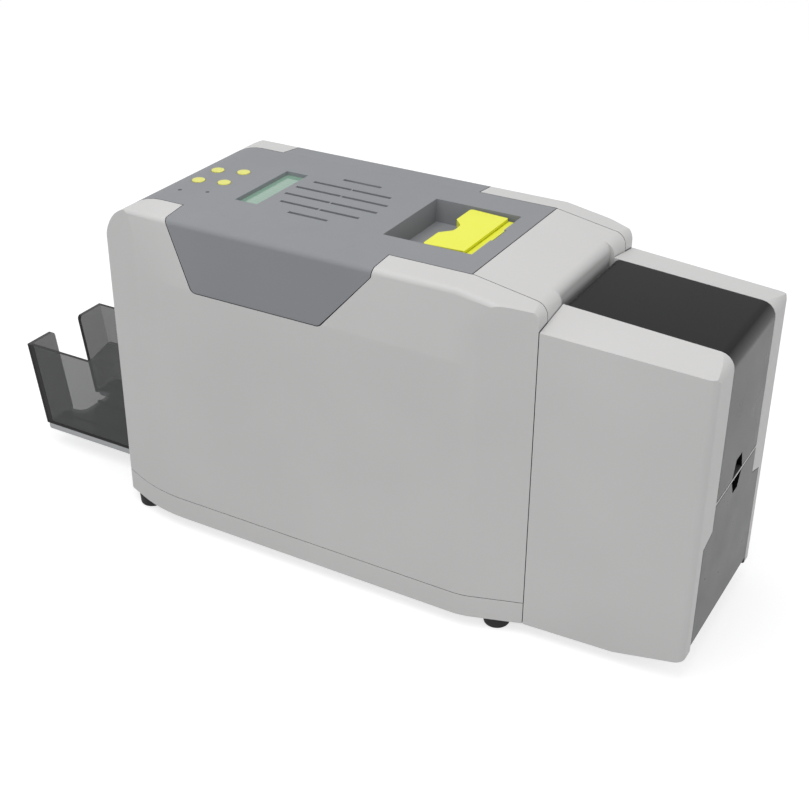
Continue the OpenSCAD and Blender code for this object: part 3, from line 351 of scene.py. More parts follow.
def moulded_plastic(name, colour, roughness=0.45, grain=FINE_GRAIN, height=GRAIN_HEIGHT, dust=0.06, ior=1.5):
    """Opaque moulded plastic with eroded grain, a trace of dust, and painted shade where it is covered."""
    material, tree, output = new_tree(name)
    shader = add_node(tree, "ShaderNodeBsdfPrincipled", {"IOR": ior})
    grained = add_node(tree, "ShaderNodeGroup", node_tree=grain_group)
    for socket, value in (("Colour", colour), ("Grain per metre", grain), ("Grain height", height),
                          ("Drift", COLOUR_DRIFT), ("Roughness", roughness)):
        grained.inputs[socket].default_value = value
    dusty = add_node(tree, "ShaderNodeGroup", node_tree=dust_group)
    dusty.inputs["Amount"].default_value = dust
    link = tree.links.new
    # Painted shade: faces that lie in a gap are darkened towards the gap colour.
    gap = add_node(tree, "ShaderNodeAttribute", attribute_name="covered")
    painted_gap_shade = add_node(tree, "ShaderNodeMix", data_type="RGBA")
    painted_gap_shade.inputs["B"].default_value = tuple(c * GAP_DARKNESS for c in colour[:3]) + (1.0,)
    link(grained.outputs["Colour"], dusty.inputs["Colour"])
    link(grained.outputs["Roughness"], dusty.inputs["Roughness"])
    link(gap.outputs["Fac"], painted_gap_shade.inputs["Factor"])
    link(dusty.outputs["Colour"], painted_gap_shade.inputs["A"])
    link(painted_gap_shade.outputs["Result"], shader.inputs["Base Color"])
    link(dusty.outputs["Roughness"], shader.inputs["Roughness"])
    link(grained.outputs["Normal"], shader.inputs["Normal"])
    link(shader.outputs[0], output.inputs[0])
    return material


# %% Mix the plastics and rubbers
shell_plastic = moulded_plastic("light grey shell", screen_colour(207, 206, 205))
cover_plastic = moulded_plastic("mid grey cover", screen_colour(141, 143, 147), 0.6, ior=1.35)
base_plastic = moulded_plastic("grey tray base", screen_colour(182, 184, 186), 0.5)
inner_plastic = moulded_plastic("dark grey inner plastic", screen_colour(62, 63, 66), 0.5, dust=0.03)
white_plastic = moulded_plastic("white cartridge plastic", screen_colour(226, 225, 220), 0.4)
black_plastic = moulded_plastic("black plastic", screen_colour(30, 30, 32), 0.4, dust=0.05)
yellow_plastic = moulded_plastic("yellow latch", screen_colour(238, 240, 40), 0.32, 4000.0, 0.00001)
key_plastic = moulded_plastic("pale yellow key", screen_colour(228, 226, 112), 0.38, 4000.0)
rubber_black = moulded_plastic("black rubber", screen_colour(28, 28, 28), 0.75, 1500.0, 0.00003)
rubber_grey = moulded_plastic("grey roller rubber", screen_colour(92, 92, 94), 0.7, 1800.0)
tacky_blue = moulded_plastic("tacky blue rubber", screen_colour(60, 96, 140), 0.25, 900.0, 0.00001)
bearing_bronze = moulded_plastic("sintered bronze", screen_colour(176, 144, 92), 0.5, 5000.0)
print("materials so far, with the floor's:", len(bpy.data.materials))

# %% [markdown]
# ## Smoked plastic
# The hopper cover, the door and the tray are moulded in dark see-through plastic. The further light travels
# in it, the less comes out, so a thin wall looks smoky, and its edge, seen along the wall, nearly black. Each
# face therefore carries an attribute named depth, the millimetres of plastic behind it, and the recipe turns
# that into how much the face hides: after one reach of the plastic, 63 percent is gone. A wall has two faces,
# and Geometry's Backfacing leaves out the one that is seen from within, so that its plastic counts only once.

# %% Recipe for smoked plastic
# Painted light: smoked faces that look along +X take a lighter end colour.
END_FACING = {"From Min": 0.5, "From Max": 0.9}  # a normal's X: from the side to square on the end
EDGE_ON = {"From Min": 0.93, "From Max": 1.0}  # how much a face hides: from a wall to its edge


def smoked_plastic(name, thin_colour, deep_colour, lit_end_colour, reach, roughness, ior=1.17):
    """See-through plastic whose alpha follows the depth behind each face; reach is in millimetres.

    The lit end colour is painted light: walls that look along +X, as the hopper's and the door's end walls
    do, take it and look lighter, as though they caught more light.
    """
    material, tree, output = new_tree(name)
    shader = add_node(tree, "ShaderNodeBsdfPrincipled", {"IOR": ior})
    depth = add_node(tree, "ShaderNodeAttribute", attribute_name="depth")
    power = add_node(tree, "ShaderNodeMath", operation="DIVIDE")
    power.inputs[1].default_value = -reach
    left = add_node(tree, "ShaderNodeMath", operation="EXPONENT")
    hidden = add_node(tree, "ShaderNodeMath", operation="SUBTRACT", use_clamp=True)
    hidden.inputs[0].default_value = 1.0
    shape = tree.nodes.new("ShaderNodeNewGeometry")
    outside = add_node(tree, "ShaderNodeMath", operation="SUBTRACT")
    outside.inputs[0].default_value = 1.0
    alpha = add_node(tree, "ShaderNodeMath", operation="MULTIPLY")
    parts = tree.nodes.new("ShaderNodeSeparateXYZ")
    # Painted light on the end walls: the more a face looks along +X, the more it takes the lit end colour.
    endward = add_node(tree, "ShaderNodeMapRange", END_FACING)
    painted_end_light = add_node(tree, "ShaderNodeMix", data_type="RGBA")
    painted_end_light.inputs["B"].default_value = lit_end_colour
    place = tree.nodes.new("ShaderNodeTexCoord")
    cloud = add_node(tree, "ShaderNodeTexNoise", {"Scale": 45.0, "Detail": 4.0})
    gloss = add_node(tree, "ShaderNodeMapRange", {"To Min": roughness * 0.8, "To Max": roughness * 1.3})
    deepness = add_node(tree, "ShaderNodeMapRange", EDGE_ON)
    tint = add_node(tree, "ShaderNodeMix", data_type="RGBA")
    tint.inputs["A"].default_value = thin_colour
    tint.inputs["B"].default_value = deep_colour
    link = tree.links.new
    link(depth.outputs["Fac"], power.inputs[0])
    link(power.outputs[0], left.inputs[0])
    link(left.outputs[0], hidden.inputs[1])
    link(shape.outputs["Backfacing"], outside.inputs[1])
    link(hidden.outputs[0], alpha.inputs[0])
    link(outside.outputs[0], alpha.inputs[1])
    link(alpha.outputs[0], shader.inputs["Alpha"])
    link(hidden.outputs[0], deepness.inputs["Value"])
    link(deepness.outputs[0], tint.inputs["Factor"])
    link(shape.outputs["Normal"], parts.inputs[0])
    link(parts.outputs["X"], endward.inputs["Value"])
    link(endward.outputs[0], painted_end_light.inputs["Factor"])
    link(tint.outputs["Result"], painted_end_light.inputs["A"])
    link(painted_end_light.outputs["Result"], shader.inputs["Base Color"])
    link(place.outputs["Object"], cloud.inputs["Vector"])
    link(cloud.outputs[0], gloss.inputs["Value"])
    link(gloss.outputs[0], shader.inputs["Roughness"])
    link(shader.outputs[0], output.inputs[0])
    return material


# %% Mix the smoked plastics
DARK = (0.008, 0.008, 0.008, 1.0)
TRAY_TONE = (0.072, 0.074, 0.074, 1.0)
# Painted light: the lighter colours of the hopper's and the door's end walls.
HOPPER_END_LIT = (0.070, 0.070, 0.071, 1.0)
DOOR_END_LIT = (0.102, 0.102, 0.103, 1.0)
TRAY_REACH, COVER_REACH = 1.62, 0.25  # millimetres
tray_smoke = smoked_plastic("smoked tray", TRAY_TONE, DARK, TRAY_TONE, TRAY_REACH, 0.1, ior=1.27)
cover_smoke = smoked_plastic("smoked hopper cover", DARK, DARK, HOPPER_END_LIT, COVER_REACH, 0.24)
door_smoke = smoked_plastic("smoked door", DARK, DARK, DOOR_END_LIT, COVER_REACH, 0.28)
print("reach in mm: tray", TRAY_REACH, "and covers", COVER_REACH)

# %% [markdown]
# ## Metal, circuit board, display and dye film
# The inside shows only with the covers open, but then it has to read as a machine: zinc-plated sheet with a
# rolling grain, turned steel shafts, green boards, and a brown-black dye ribbon.

# %% Group: drawn streaks


def make_drawn_group():
    """Long fine streaks for rolled sheet and turned shafts."""
    tree, given, result = group_tree(
        "drawn streaks",
        [("Colour", COLOUR, MID_GREY), ("Streaks", VECTOR, (30.0, 900.0, 900.0)), ("Roughness", FLOAT, 0.3)],
        [("Colour", COLOUR), ("Roughness", FLOAT), ("Height", FLOAT)],
    )
    place = tree.nodes.new("ShaderNodeTexCoord")
    stretch = add_node(tree, "ShaderNodeVectorMath", operation="MULTIPLY")
    streak = add_node(tree, "ShaderNodeTexNoise", {"Scale": 1.0, "Detail": 4.0})
    level = add_node(tree, "ShaderNodeMapRange", {"To Min": 0.86, "To Max": 1.1})
    tint = add_node(tree, "ShaderNodeVectorMath", operation="SCALE")
    rough = add_node(tree, "ShaderNodeMath", operation="MULTIPLY_ADD")
    rough.inputs[1].default_value = 0.2
    link = tree.links.new
    link(place.outputs["Object"], stretch.inputs[0])
    link(given.outputs["Streaks"], stretch.inputs[1])
    link(stretch.outputs[0], streak.inputs["Vector"])
    link(streak.outputs[0], level.inputs["Value"])
    link(given.outputs["Colour"], tint.inputs[0])
    link(level.outputs[0], tint.inputs["Scale"])
    link(tint.outputs[0], result.inputs["Colour"])
    link(streak.outputs[0], rough.inputs[0])
    link(given.outputs["Roughness"], rough.inputs[2])
    link(rough.outputs[0], result.inputs["Roughness"])
    link(streak.outputs[0], result.inputs["Height"])
    return tree


drawn_group = make_drawn_group()
print("group:", drawn_group.name, "with", len(drawn_group.nodes), "nodes")

# %% Recipe: drawn metal


def drawn_metal(name, colour, streaks, roughness=0.28):
    """Bare or plated metal. Streaks gives the noise cells in a metre, fewest along the streaks."""
    material, tree, output = new_tree(name)
    shader = add_node(tree, "ShaderNodeBsdfPrincipled", {"Metallic": 1.0})
    drawn = add_node(tree, "ShaderNodeGroup", node_tree=drawn_group)
    drawn.inputs["Colour"].default_value = colour
    drawn.inputs["Streaks"].default_value = streaks
    drawn.inputs["Roughness"].default_value = roughness
    bump = add_node(tree, "ShaderNodeBump", {"Strength": 0.3, "Distance": 0.00002})
    link = tree.links.new
    link(drawn.outputs["Colour"], shader.inputs["Base Color"])
    link(drawn.outputs["Roughness"], shader.inputs["Roughness"])
    link(drawn.outputs["Height"], bump.inputs["Height"])
    link(bump.outputs[0], shader.inputs["Normal"])
    link(shader.outputs[0], output.inputs[0])
    return material


sheet_steel = drawn_metal("zinc-plated sheet", (0.62, 0.62, 0.63, 1.0), (40.0, 900.0, 900.0), 0.3)
turned_steel = drawn_metal("turned steel", (0.66, 0.66, 0.67, 1.0), (900.0, 40.0, 900.0), 0.2)
head_metal = drawn_metal("anodised head", (0.30, 0.30, 0.31, 1.0), (900.0, 60.0, 900.0), 0.35)
print("metals:", sheet_steel.name, turned_steel.name, head_metal.name, sep=", ")

# %% Recipe: circuit board


def board_material():
    """Green solder mask with paler copper tracks that run in straight cells."""
    material, tree, output = new_tree("green board")
    shader = add_node(tree, "ShaderNodeBsdfPrincipled", {"Roughness": 0.3, "IOR": 1.5})
    place = tree.nodes.new("ShaderNodeTexCoord")
    cells = add_node(tree, "ShaderNodeTexVoronoi", {"Scale": 240.0},
                     distance="MANHATTAN", feature="DISTANCE_TO_EDGE")
    track = add_node(tree, "ShaderNodeMapRange", {"From Min": 0.04, "From Max": 0.10})
    mix = add_node(tree, "ShaderNodeMix", data_type="RGBA")
    mix.inputs["A"].default_value = screen_colour(52, 128, 84)
    mix.inputs["B"].default_value = screen_colour(22, 84, 52)
    link = tree.links.new
    link(place.outputs["Object"], cells.inputs["Vector"])
    link(cells.outputs[0], track.inputs["Value"])
    link(track.outputs[0], mix.inputs["Factor"])
    link(mix.outputs["Result"], shader.inputs["Base Color"])
    link(shader.outputs[0], output.inputs[0])
    return material


green_board = board_material()
print("board:", green_board.name)

# %% Recipe: display
DOT_CELLS = {"Scale": 1.0, "Brick Width": 0.0034, "Row Height": 0.0056, "Mortar Size": 0.0004,
             "Mortar Smooth": 0.3}  # metres


def display_material():
    """A grey-green liquid crystal pane under a smooth window, with its faint empty dot cells."""
    material, tree, output = new_tree("display pane")
    shader = add_node(tree, "ShaderNodeBsdfPrincipled", {"Roughness": 0.12, "IOR": 1.5, "Coat Weight": 0.2})
    place = tree.nodes.new("ShaderNodeTexCoord")
    dots = add_node(tree, "ShaderNodeTexBrick", DOT_CELLS, offset=0.0)
    turn = add_node(tree, "ShaderNodeMapping")
    turn.inputs["Rotation"].default_value = (0.0, 0.0, math.radians(90))
    dots.inputs["Color1"].default_value = screen_colour(132, 166, 147)
    dots.inputs["Color2"].default_value = screen_colour(134, 168, 149)
    dots.inputs["Mortar"].default_value = screen_colour(142, 175, 157)
    link = tree.links.new
    link(place.outputs["Object"], turn.inputs["Vector"])
    link(turn.outputs[0], dots.inputs["Vector"])
    link(dots.outputs["Color"], shader.inputs["Base Color"])
    link(shader.outputs[0], output.inputs[0])
    return material


display_pane = display_material()
print("display:", display_pane.name)

# %% Recipe: dye film
WINDING = (8.0, 700.0, 8.0)  # noise cells in a metre: fine lines across the width


def film_material():
    """Glossy dye ribbon, nearly black with a brown cast, with the fine lines of its winding."""
    material, tree, output = new_tree("dye film")
    shader = add_node(tree, "ShaderNodeBsdfPrincipled", {"IOR": 1.55, "Coat Weight": 0.5})
    place = tree.nodes.new("ShaderNodeTexCoord")
    stretch = add_node(tree, "ShaderNodeVectorMath", operation="MULTIPLY")
    stretch.inputs[1].default_value = WINDING
    lines = add_node(tree, "ShaderNodeTexNoise", {"Scale": 1.0, "Detail": 3.0})
    tint = add_node(tree, "ShaderNodeMix", data_type="RGBA")
    tint.inputs["A"].default_value = screen_colour(26, 20, 18)
    tint.inputs["B"].default_value = screen_colour(52, 40, 34)
    gloss = add_node(tree, "ShaderNodeMapRange", {"To Min": 0.12, "To Max": 0.32})
    link = tree.links.new
    link(place.outputs["Object"], stretch.inputs[0])
    link(stretch.outputs[0], lines.inputs["Vector"])
    link(lines.outputs[0], tint.inputs["Factor"])
    link(lines.outputs[0], gloss.inputs["Value"])
    link(tint.outputs["Result"], shader.inputs["Base Color"])
    link(gloss.outputs[0], shader.inputs["Roughness"])
    link(shader.outputs[0], output.inputs[0])
    return material


dye_film = film_material()
print("film:", dye_film.name)

# %% [markdown]
# ## From solid to moulded piece
# A CAD edge is perfectly sharp and catches no light. Every real moulding has a small radius, so each casing
# is copied, its loose triangles are joined and its flat faces cleaned, and a Bevel modifier rounds every edge
# sharper than 25 degrees. A flat face with holes in it may be split badly into triangles, so some casings
# are first cut by planes through their holes. Normals weighted by face area keep the large faces flat, so
# only the rounding is shaded as round. The copy then stands for the solid.

# %% Helper: keep what the modifiers make


def keep_result(piece):
    """Turns what a piece's modifiers make into its plain mesh, and removes them."""
    evaluated = piece.evaluated_get(bpy.context.evaluated_depsgraph_get())
    finished = bpy.data.meshes.new_from_object(evaluated)
    piece.modifiers.clear()
    piece.data = finished


# %% Helper: a copy with soft edges
SAME_POINT = 0.000002  # metres: corners closer than this are one
FLAT_ANGLE = math.radians(0.6)
SHARP_ANGLE = math.radians(25.0)


def soft_copy(node, radius, cuts):
    """A mesh copy of a CAD node with its edges rounded. Cuts are planes (point, normal) that split faces.

    The cut edges are marked as seams, so that cleaning the flat faces doesn't join them again.
    """
    mesh = nodes[node].data.copy()
    work = bmesh.new()
    work.from_mesh(mesh)
    bmesh.ops.remove_doubles(work, verts=work.verts, dist=SAME_POINT)
    for point, normal in cuts:
        everything = work.verts[:] + work.edges[:] + work.faces[:]
        made = bmesh.ops.bisect_plane(work, geom=everything, dist=SAME_POINT, plane_co=point, plane_no=normal)
        for part in made["geom_cut"]:
            if isinstance(part, bmesh.types.BMEdge):
                part.seam = True
    bmesh.ops.dissolve_limit(work, angle_limit=FLAT_ANGLE, verts=work.verts, edges=work.edges,
                             delimit={"SEAM"})
    work.to_mesh(mesh)
    work.free()
    mesh.shade_smooth()
    piece = in_scene(node + "_skin", mesh)
    bevel = piece.modifiers.new("soft edges", "BEVEL")
    bevel.width = radius
    bevel.segments = 2
    bevel.limit_method = "ANGLE"
    bevel.angle_limit = SHARP_ANGLE
    bevel.use_clamp_overlap = True
    bevel.miter_outer = "MITER_ARC"
    weighted = piece.modifiers.new("flat faces", "WEIGHTED_NORMAL")
    weighted.mode = "FACE_AREA"
    weighted.weight = 100
    weighted.keep_sharp = True
    keep_result(piece)
    return piece


# %% Helper: dress a piece


def dress(piece, material, body, node):
    """Gives a piece its one material and its body, and hides the node that it stands for."""
    piece.data.materials.clear()
    piece.data.materials.append(material)
    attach(piece, body)
    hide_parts(node)


# %% List the casings
body_of = {n: b for b, names in frame["record"]["behaviour"]["bodies"].items() for n in names}
KEY_PLACES = ("front_right", "front_left", "back_right", "back_left")
casings = [  # node, radius of its edges in millimetres, material
    ("base_pan", 0.4, shell_plastic),
    ("right_side_cover", 0.3, shell_plastic),
    ("left_side_cover", 0.3, shell_plastic),
    ("front_panel", 0.3, shell_plastic),
    ("rear_deck", 0.3, shell_plastic),
    ("top_cover", 0.3, cover_plastic),
    ("feeder_housing", 0.9, shell_plastic),
    ("hopper_cover", 0.5, cover_smoke),
    ("service_door", 0.5, door_smoke),
    ("output_tray", 0.4, tray_smoke),
    ("tray_base", 0.6, base_plastic),
    ("cover_latch", 0.5, yellow_plastic),
    ("rubber_feet", 0.6, rubber_black),
    *((f"button_{place}", 0.35, key_plastic) for place in KEY_PLACES),
    ("card_weight", 0.5, black_plastic),
    ("ribbon_cartridge", 0.3, white_plastic),
    ("power_switch", 0.3, black_plastic),
]
print("casings:", len(casings))

# %% Choose the cut planes
# The side covers are cut along the feeder's sloping roof, the top cover lengthwise through its openings,
# and the tray along its inner walls, its floor and its slanting end wall.
ROOF_Y, ROOF_Z, ROOF_FALL = 0.0373, 0.2083, 0.16
COVER_CUTS = (-37.5, -31.5, -18.9, -6.3, 0.0, 6.3, 18.9, 31.5, 37.5)  # y, in millimetres
TRAY_X, TRAY_HALF, TRAY_WALL, TRAY_FLOOR, TRAY_TOP = -0.253, 0.039, 0.0025, 0.0201, 0.0794
TRAY_SET_BACK, SECOND_CUT = 0.00038, 0.0056  # the end wall's outer face at its top, and a cut further in
end_normal = Vector((0.0618, 0.0, 0.0095)).normalized()  # the end wall slants


def across(y):
    """The upright plane along the printer at this y."""
    return Vector((0.0, y, 0.0)), Vector((0.0, 1.0, 0.0))


def roof(side):
    """The plane of the feeder's roof on one side: -1 is right, 1 is left."""
    return Vector((0.0, side * ROOF_Y, ROOF_Z)), Vector((0.0, side * ROOF_FALL, 1.0))


end_wall = Vector((TRAY_X + TRAY_SET_BACK, 0.0, TRAY_TOP))
cuts_of = {
    "right_side_cover": [roof(-1)],
    "left_side_cover": [roof(1)],
    "top_cover": [across(y * MM) for y in COVER_CUTS],
    "output_tray": [
        across(TRAY_HALF - TRAY_WALL),
        across(TRAY_WALL - TRAY_HALF),
        (Vector((0.0, 0.0, TRAY_FLOOR)), Vector((0.0, 0.0, 1.0))),
        (end_wall + end_normal * TRAY_WALL, end_normal),
        (end_wall + end_normal * SECOND_CUT, end_normal),
    ],
}
print("cut planes:", {name: len(planes) for name, planes in cuts_of.items()})

# %% Round the casings
skins = {}
for name, radius, material in casings:
    skins[name] = soft_copy(name, radius * MM, cuts_of.get(name, ()))
    dress(skins[name], material, body_of[name], name)
    print(f"{name}: {len(skins[name].data.polygons)} faces, edges rounded to {radius} mm")

# %% [markdown]
# ## Two measured attributes
# A ray shot from the middle of a face along its normal tells whether another moulding covers it closely. Rays
# shot the other way, one straight in and four tilted, tell how much plastic lies behind it. Both are stored
# on the faces, once, and the recipes above read them. Nothing here depends on the camera.

# %% Helpers: spots on faces, stored values and search trees
RAY_START = 0.00002  # metres: a ray starts this far off its own face


def face_spots(mesh):
    """For each face, the middle of its largest triangle, which always lies on the face, and its normal."""
    mesh.calc_loop_triangles()
    largest = {}
    for triangle in mesh.loop_triangles:
        if triangle.area > largest.get(triangle.polygon_index, (0.0, None))[0]:
            middle = sum((mesh.vertices[v].co for v in triangle.vertices), Vector()) / 3.0
            largest[triangle.polygon_index] = (triangle.area, middle)
    return [(largest[f.index][1] if f.index in largest else f.center, f.normal) for f in mesh.polygons]


def store(mesh, name, values):
    """Writes one value per face as a named attribute."""
    mesh.attributes.new(name, "FLOAT", "FACE").data.foreach_set("value", values)


def tree_of(meshes):
    """A search tree over several meshes that share one frame."""
    points, faces = [], []
    for mesh in meshes:
        start = len(points)
        points.extend(v.co.copy() for v in mesh.vertices)
        faces.extend([start + i for i in f.vertices] for f in mesh.polygons)
    return BVHTree.FromPolygons(points, faces)


# %% Measure how covered each face is
# The faces found here get painted shade from the plastic recipe.
GAP_REACH = 3.0 * MM
shell_names = ["base_pan", "right_side_cover", "left_side_cover", "front_panel", "rear_deck", "top_cover",
               "feeder_housing"]
outer_meshes = {n: skins[n].data for n in shell_names + ["hopper_cover", "service_door"]}
for name in shell_names:
    mesh = skins[name].data
    others = tree_of([other for n, other in outer_meshes.items() if n != name])
    covered = [1.0 if others.ray_cast(spot + normal * RAY_START, normal, GAP_REACH)[0] else 0.0
               for spot, normal in face_spots(mesh)]
    store(mesh, "covered", covered)
    print(f"{name}: {sum(covered):.0f} of {len(covered)} faces lie in a gap")

# %% Measure how deep the smoked plastic is
DEEPEST = 60.0 * MM
TILT = math.radians(35.0)


def depth_behind(tree, spot, normal):
    """The longest way through the plastic behind a spot, straight in or tilted to one of four sides."""
    side = normal.orthogonal().normalized()
    ways = [-normal] + [math.sin(TILT) * tilted - math.cos(TILT) * normal
                        for tilted in (side, -side, normal.cross(side), side.cross(normal))]
    return max(tree.ray_cast(spot - normal * RAY_START, way, DEEPEST)[3] or DEEPEST for way in ways)


for name in ("output_tray", "hopper_cover", "service_door"):
    mesh = skins[name].data
    own_tree = tree_of([mesh])
    depths = [depth_behind(own_tree, spot, normal) for spot, normal in face_spots(mesh)]
    store(mesh, "depth", [d / MM for d in depths])
    print(f"{name}: walls {min(depths) / MM:.1f} to {max(depths) / MM:.1f} mm deep")

# %% [markdown]
# ## The inside
# Shafts, rollers, boards and plates have the right shape already, so they keep their solid mesh and only get
# their finish.

# %% Give the inner nodes their finish
finishes = {
    sheet_steel: ["right_side_plate", "left_side_plate", "power_supply", "head_bracket", "usb_socket",
                  "case_screws"],
    turned_steel: ["tie_rods", "cover_pins", "feed_shaft", "platen_shaft"],
    head_metal: ["print_head", "main_motor", "ribbon_motor"],
    inner_plastic: ["card_guides", "hopper_liner", "io_plate", "fan_rotor"],
    black_plastic: ["power_inlet", "fan_frame", "status_lights"],
    white_plastic: ["motor_pulley", "takeup_drive"],
    bearing_bronze: ["shaft_bushes"],
    rubber_black: ["path_belt", "pick_belt", "motor_belt", "feed_tyres", "platen_tyre", "exit_roller",
                   "pick_roller"],
    rubber_grey: ["pinch_in_roller", "pinch_out_roller"],
    tacky_blue: ["cleaning_roller"],
    green_board: ["main_board", "control_board", "lcd_module"],
    display_pane: ["lcd_window"],
    dye_film: ["ribbon_film", "supply_spool", "takeup_spool"],
}
for material, names in finishes.items():
    for name in names:
        node = nodes[name]
        node.data.materials.clear()
        node.data.materials.append(material)
print("finished inner nodes:", sum(len(names) for names in finishes.values()))

# %% [markdown]
# ## What repeats: belt teeth and board parts
# A drive belt is a plain band in the solid model, but a real one is toothed on its inner face, and a bare
# circuit board is crowded with small parts. Hand-placing hundreds of them makes no sense, so Geometry Nodes
# trees do it: one walks along a loop and sets a tooth at every step, the other scatters parts over a grid
# with a fixed seed. Each tree ends in Realize Instances and Set Material, and its result is kept as a mesh.

# %% Helpers: a Geometry Nodes tree and its evaluated mesh


def geometry_tree(name, inputs):
    """An empty Geometry Nodes tree with a geometry input, named value inputs, and a geometry output."""
    tree = bpy.data.node_groups.new(name, "GeometryNodeTree")
    tree.is_modifier = True
    tree.interface.new_socket("Geometry", in_out="INPUT", socket_type="NodeSocketGeometry")
    for socket, kind, value in inputs:
        made = tree.interface.new_socket(socket, in_out="INPUT", socket_type=kind)
        if value is not None:
            made.default_value = value
    tree.interface.new_socket("Geometry", in_out="OUTPUT", socket_type="NodeSocketGeometry")
    return tree, tree.nodes.new("NodeGroupInput"), tree.nodes.new("NodeGroupOutput")


def grown_mesh(name, start_mesh, tree, values, body):
    """Runs a tree on a start mesh with the given input values, and keeps the result as a plain mesh."""
    piece = in_scene(name, start_mesh)
    modifier = piece.modifiers.new("grow", "NODES")
    modifier.node_group = tree
    for item in tree.interface.items_tree:
        if item.in_out == "INPUT" and item.name in values:
            modifier[item.identifier] = values[item.name]
    keep_result(piece)
    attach(piece, body)
    print(f"{name}: {len(piece.data.polygons)} faces")


# %% Tree: teeth along a loop
INT, MATERIAL = "NodeSocketInt", "NodeSocketMaterial"


def make_teeth_tree():
    """Small blocks at equal steps along a closed loop in the XY plane, which is then stood up in XZ."""
    tree, given, result = geometry_tree("belt teeth", [
        ("Teeth", INT, 100), ("Tooth length", FLOAT, 0.001), ("Tooth depth", FLOAT, 0.0008),
        ("Belt width", FLOAT, 0.003), ("Across", FLOAT, 0.0), ("Material", MATERIAL, None)])
    curve = tree.nodes.new("GeometryNodeMeshToCurve")
    steps = tree.nodes.new("GeometryNodeCurveToPoints")
    steps.mode = "COUNT"
    size = tree.nodes.new("ShaderNodeCombineXYZ")
    tooth = tree.nodes.new("GeometryNodeMeshCube")
    aim = tree.nodes.new("FunctionNodeAlignRotationToVector")
    aim.axis = "X"
    aim.pivot_axis = "Z"
    placed = tree.nodes.new("GeometryNodeInstanceOnPoints")
    shift = tree.nodes.new("ShaderNodeCombineXYZ")
    stand = tree.nodes.new("GeometryNodeTransform")
    stand.inputs["Rotation"].default_value = (math.radians(90), 0.0, 0.0)
    real = tree.nodes.new("GeometryNodeRealizeInstances")
    paint = tree.nodes.new("GeometryNodeSetMaterial")
    link = tree.links.new
    link(given.outputs["Geometry"], curve.inputs["Mesh"])
    link(curve.outputs["Curve"], steps.inputs["Curve"])
    link(given.outputs["Teeth"], steps.inputs["Count"])
    link(given.outputs["Tooth length"], size.inputs["X"])
    link(given.outputs["Tooth depth"], size.inputs["Y"])
    link(given.outputs["Belt width"], size.inputs["Z"])
    link(size.outputs[0], tooth.inputs["Size"])
    link(steps.outputs["Tangent"], aim.inputs["Vector"])
    link(steps.outputs["Points"], placed.inputs["Points"])
    link(tooth.outputs["Mesh"], placed.inputs["Instance"])
    link(aim.outputs["Rotation"], placed.inputs["Rotation"])
    link(given.outputs["Across"], shift.inputs["Y"])
    link(placed.outputs["Instances"], stand.inputs["Geometry"])
    link(shift.outputs[0], stand.inputs["Translation"])
    link(stand.outputs["Geometry"], real.inputs["Geometry"])
    link(real.outputs["Geometry"], paint.inputs["Geometry"])
    link(given.outputs["Material"], paint.inputs["Material"])
    link(paint.outputs["Geometry"], result.inputs["Geometry"])
    return tree


teeth_tree = make_teeth_tree()
print("tree:", teeth_tree.name, "with", len(teeth_tree.nodes), "nodes")

# %% Helpers: a belt's path
ARC_STEPS = 24


def belt_loop(first, first_radius, second, second_radius):
    """Points of a belt's path round two pulleys, in the XY plane: two arcs and their common tangents."""
    run = math.dist(first, second)
    heading = math.atan2(second[1] - first[1], second[0] - first[0])
    lean = math.acos((first_radius - second_radius) / run)
    points = []
    for centre, radius, start, sweep in ((first, first_radius, heading + lean, 2 * math.pi - 2 * lean),
                                         (second, second_radius, heading - lean, 2 * lean)):
        for i in range(ARC_STEPS + 1):
            turn = start + sweep * i / ARC_STEPS
            points.append((centre[0] + radius * math.cos(turn), centre[1] + radius * math.sin(turn), 0.0))
    return points


def pulley_centre(node):
    """Middle of a round piece's box in the side view."""
    low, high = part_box(node)
    return ((low.x + high.x) / 2, (low.z + high.z) / 2)


# %% Lay the teeth inside each belt
TOOTH_PITCH, TOOTH_LENGTH, TOOTH_DEPTH, TOOTH_SINK = 2.5 * MM, 1.2 * MM, 0.8 * MM, 0.1 * MM
PULLEY, FEED_PULLEY, MOTOR_PULLEY = 8.0 * MM, 10.0 * MM, 6.0 * MM
turning = ("feed_shaft", "exit_roller", "pick_roller", "motor_pulley")
feed_at, exit_at, pick_at, motor_at = (pulley_centre(n) for n in turning)
inset = TOOTH_SINK - TOOTH_DEPTH / 2
belts = {"path_belt": (exit_at, PULLEY, feed_at, PULLEY), "pick_belt": (feed_at, PULLEY, pick_at, PULLEY),
         "motor_belt": (motor_at, MOTOR_PULLEY, feed_at, FEED_PULLEY)}
for belt, (first, first_radius, second, second_radius) in belts.items():
    path = belt_loop(first, first_radius + inset, second, second_radius + inset)
    loop = bpy.data.meshes.new(belt + "_loop")
    loop.from_pydata(path, [(i, (i + 1) % len(path)) for i in range(len(path))], [])
    length = sum(math.dist(path[i], path[i - 1]) for i in range(len(path)))
    low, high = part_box(belt)
    grown_mesh(belt + "_teeth", loop, teeth_tree, {
        "Teeth": round(length / TOOTH_PITCH), "Tooth length": TOOTH_LENGTH, "Tooth depth": TOOTH_DEPTH,
        "Belt width": high.y - low.y, "Across": (low.y + high.y) / 2, "Material": rubber_black,
    }, "chassis")

# %% Tree: parts scattered over a board


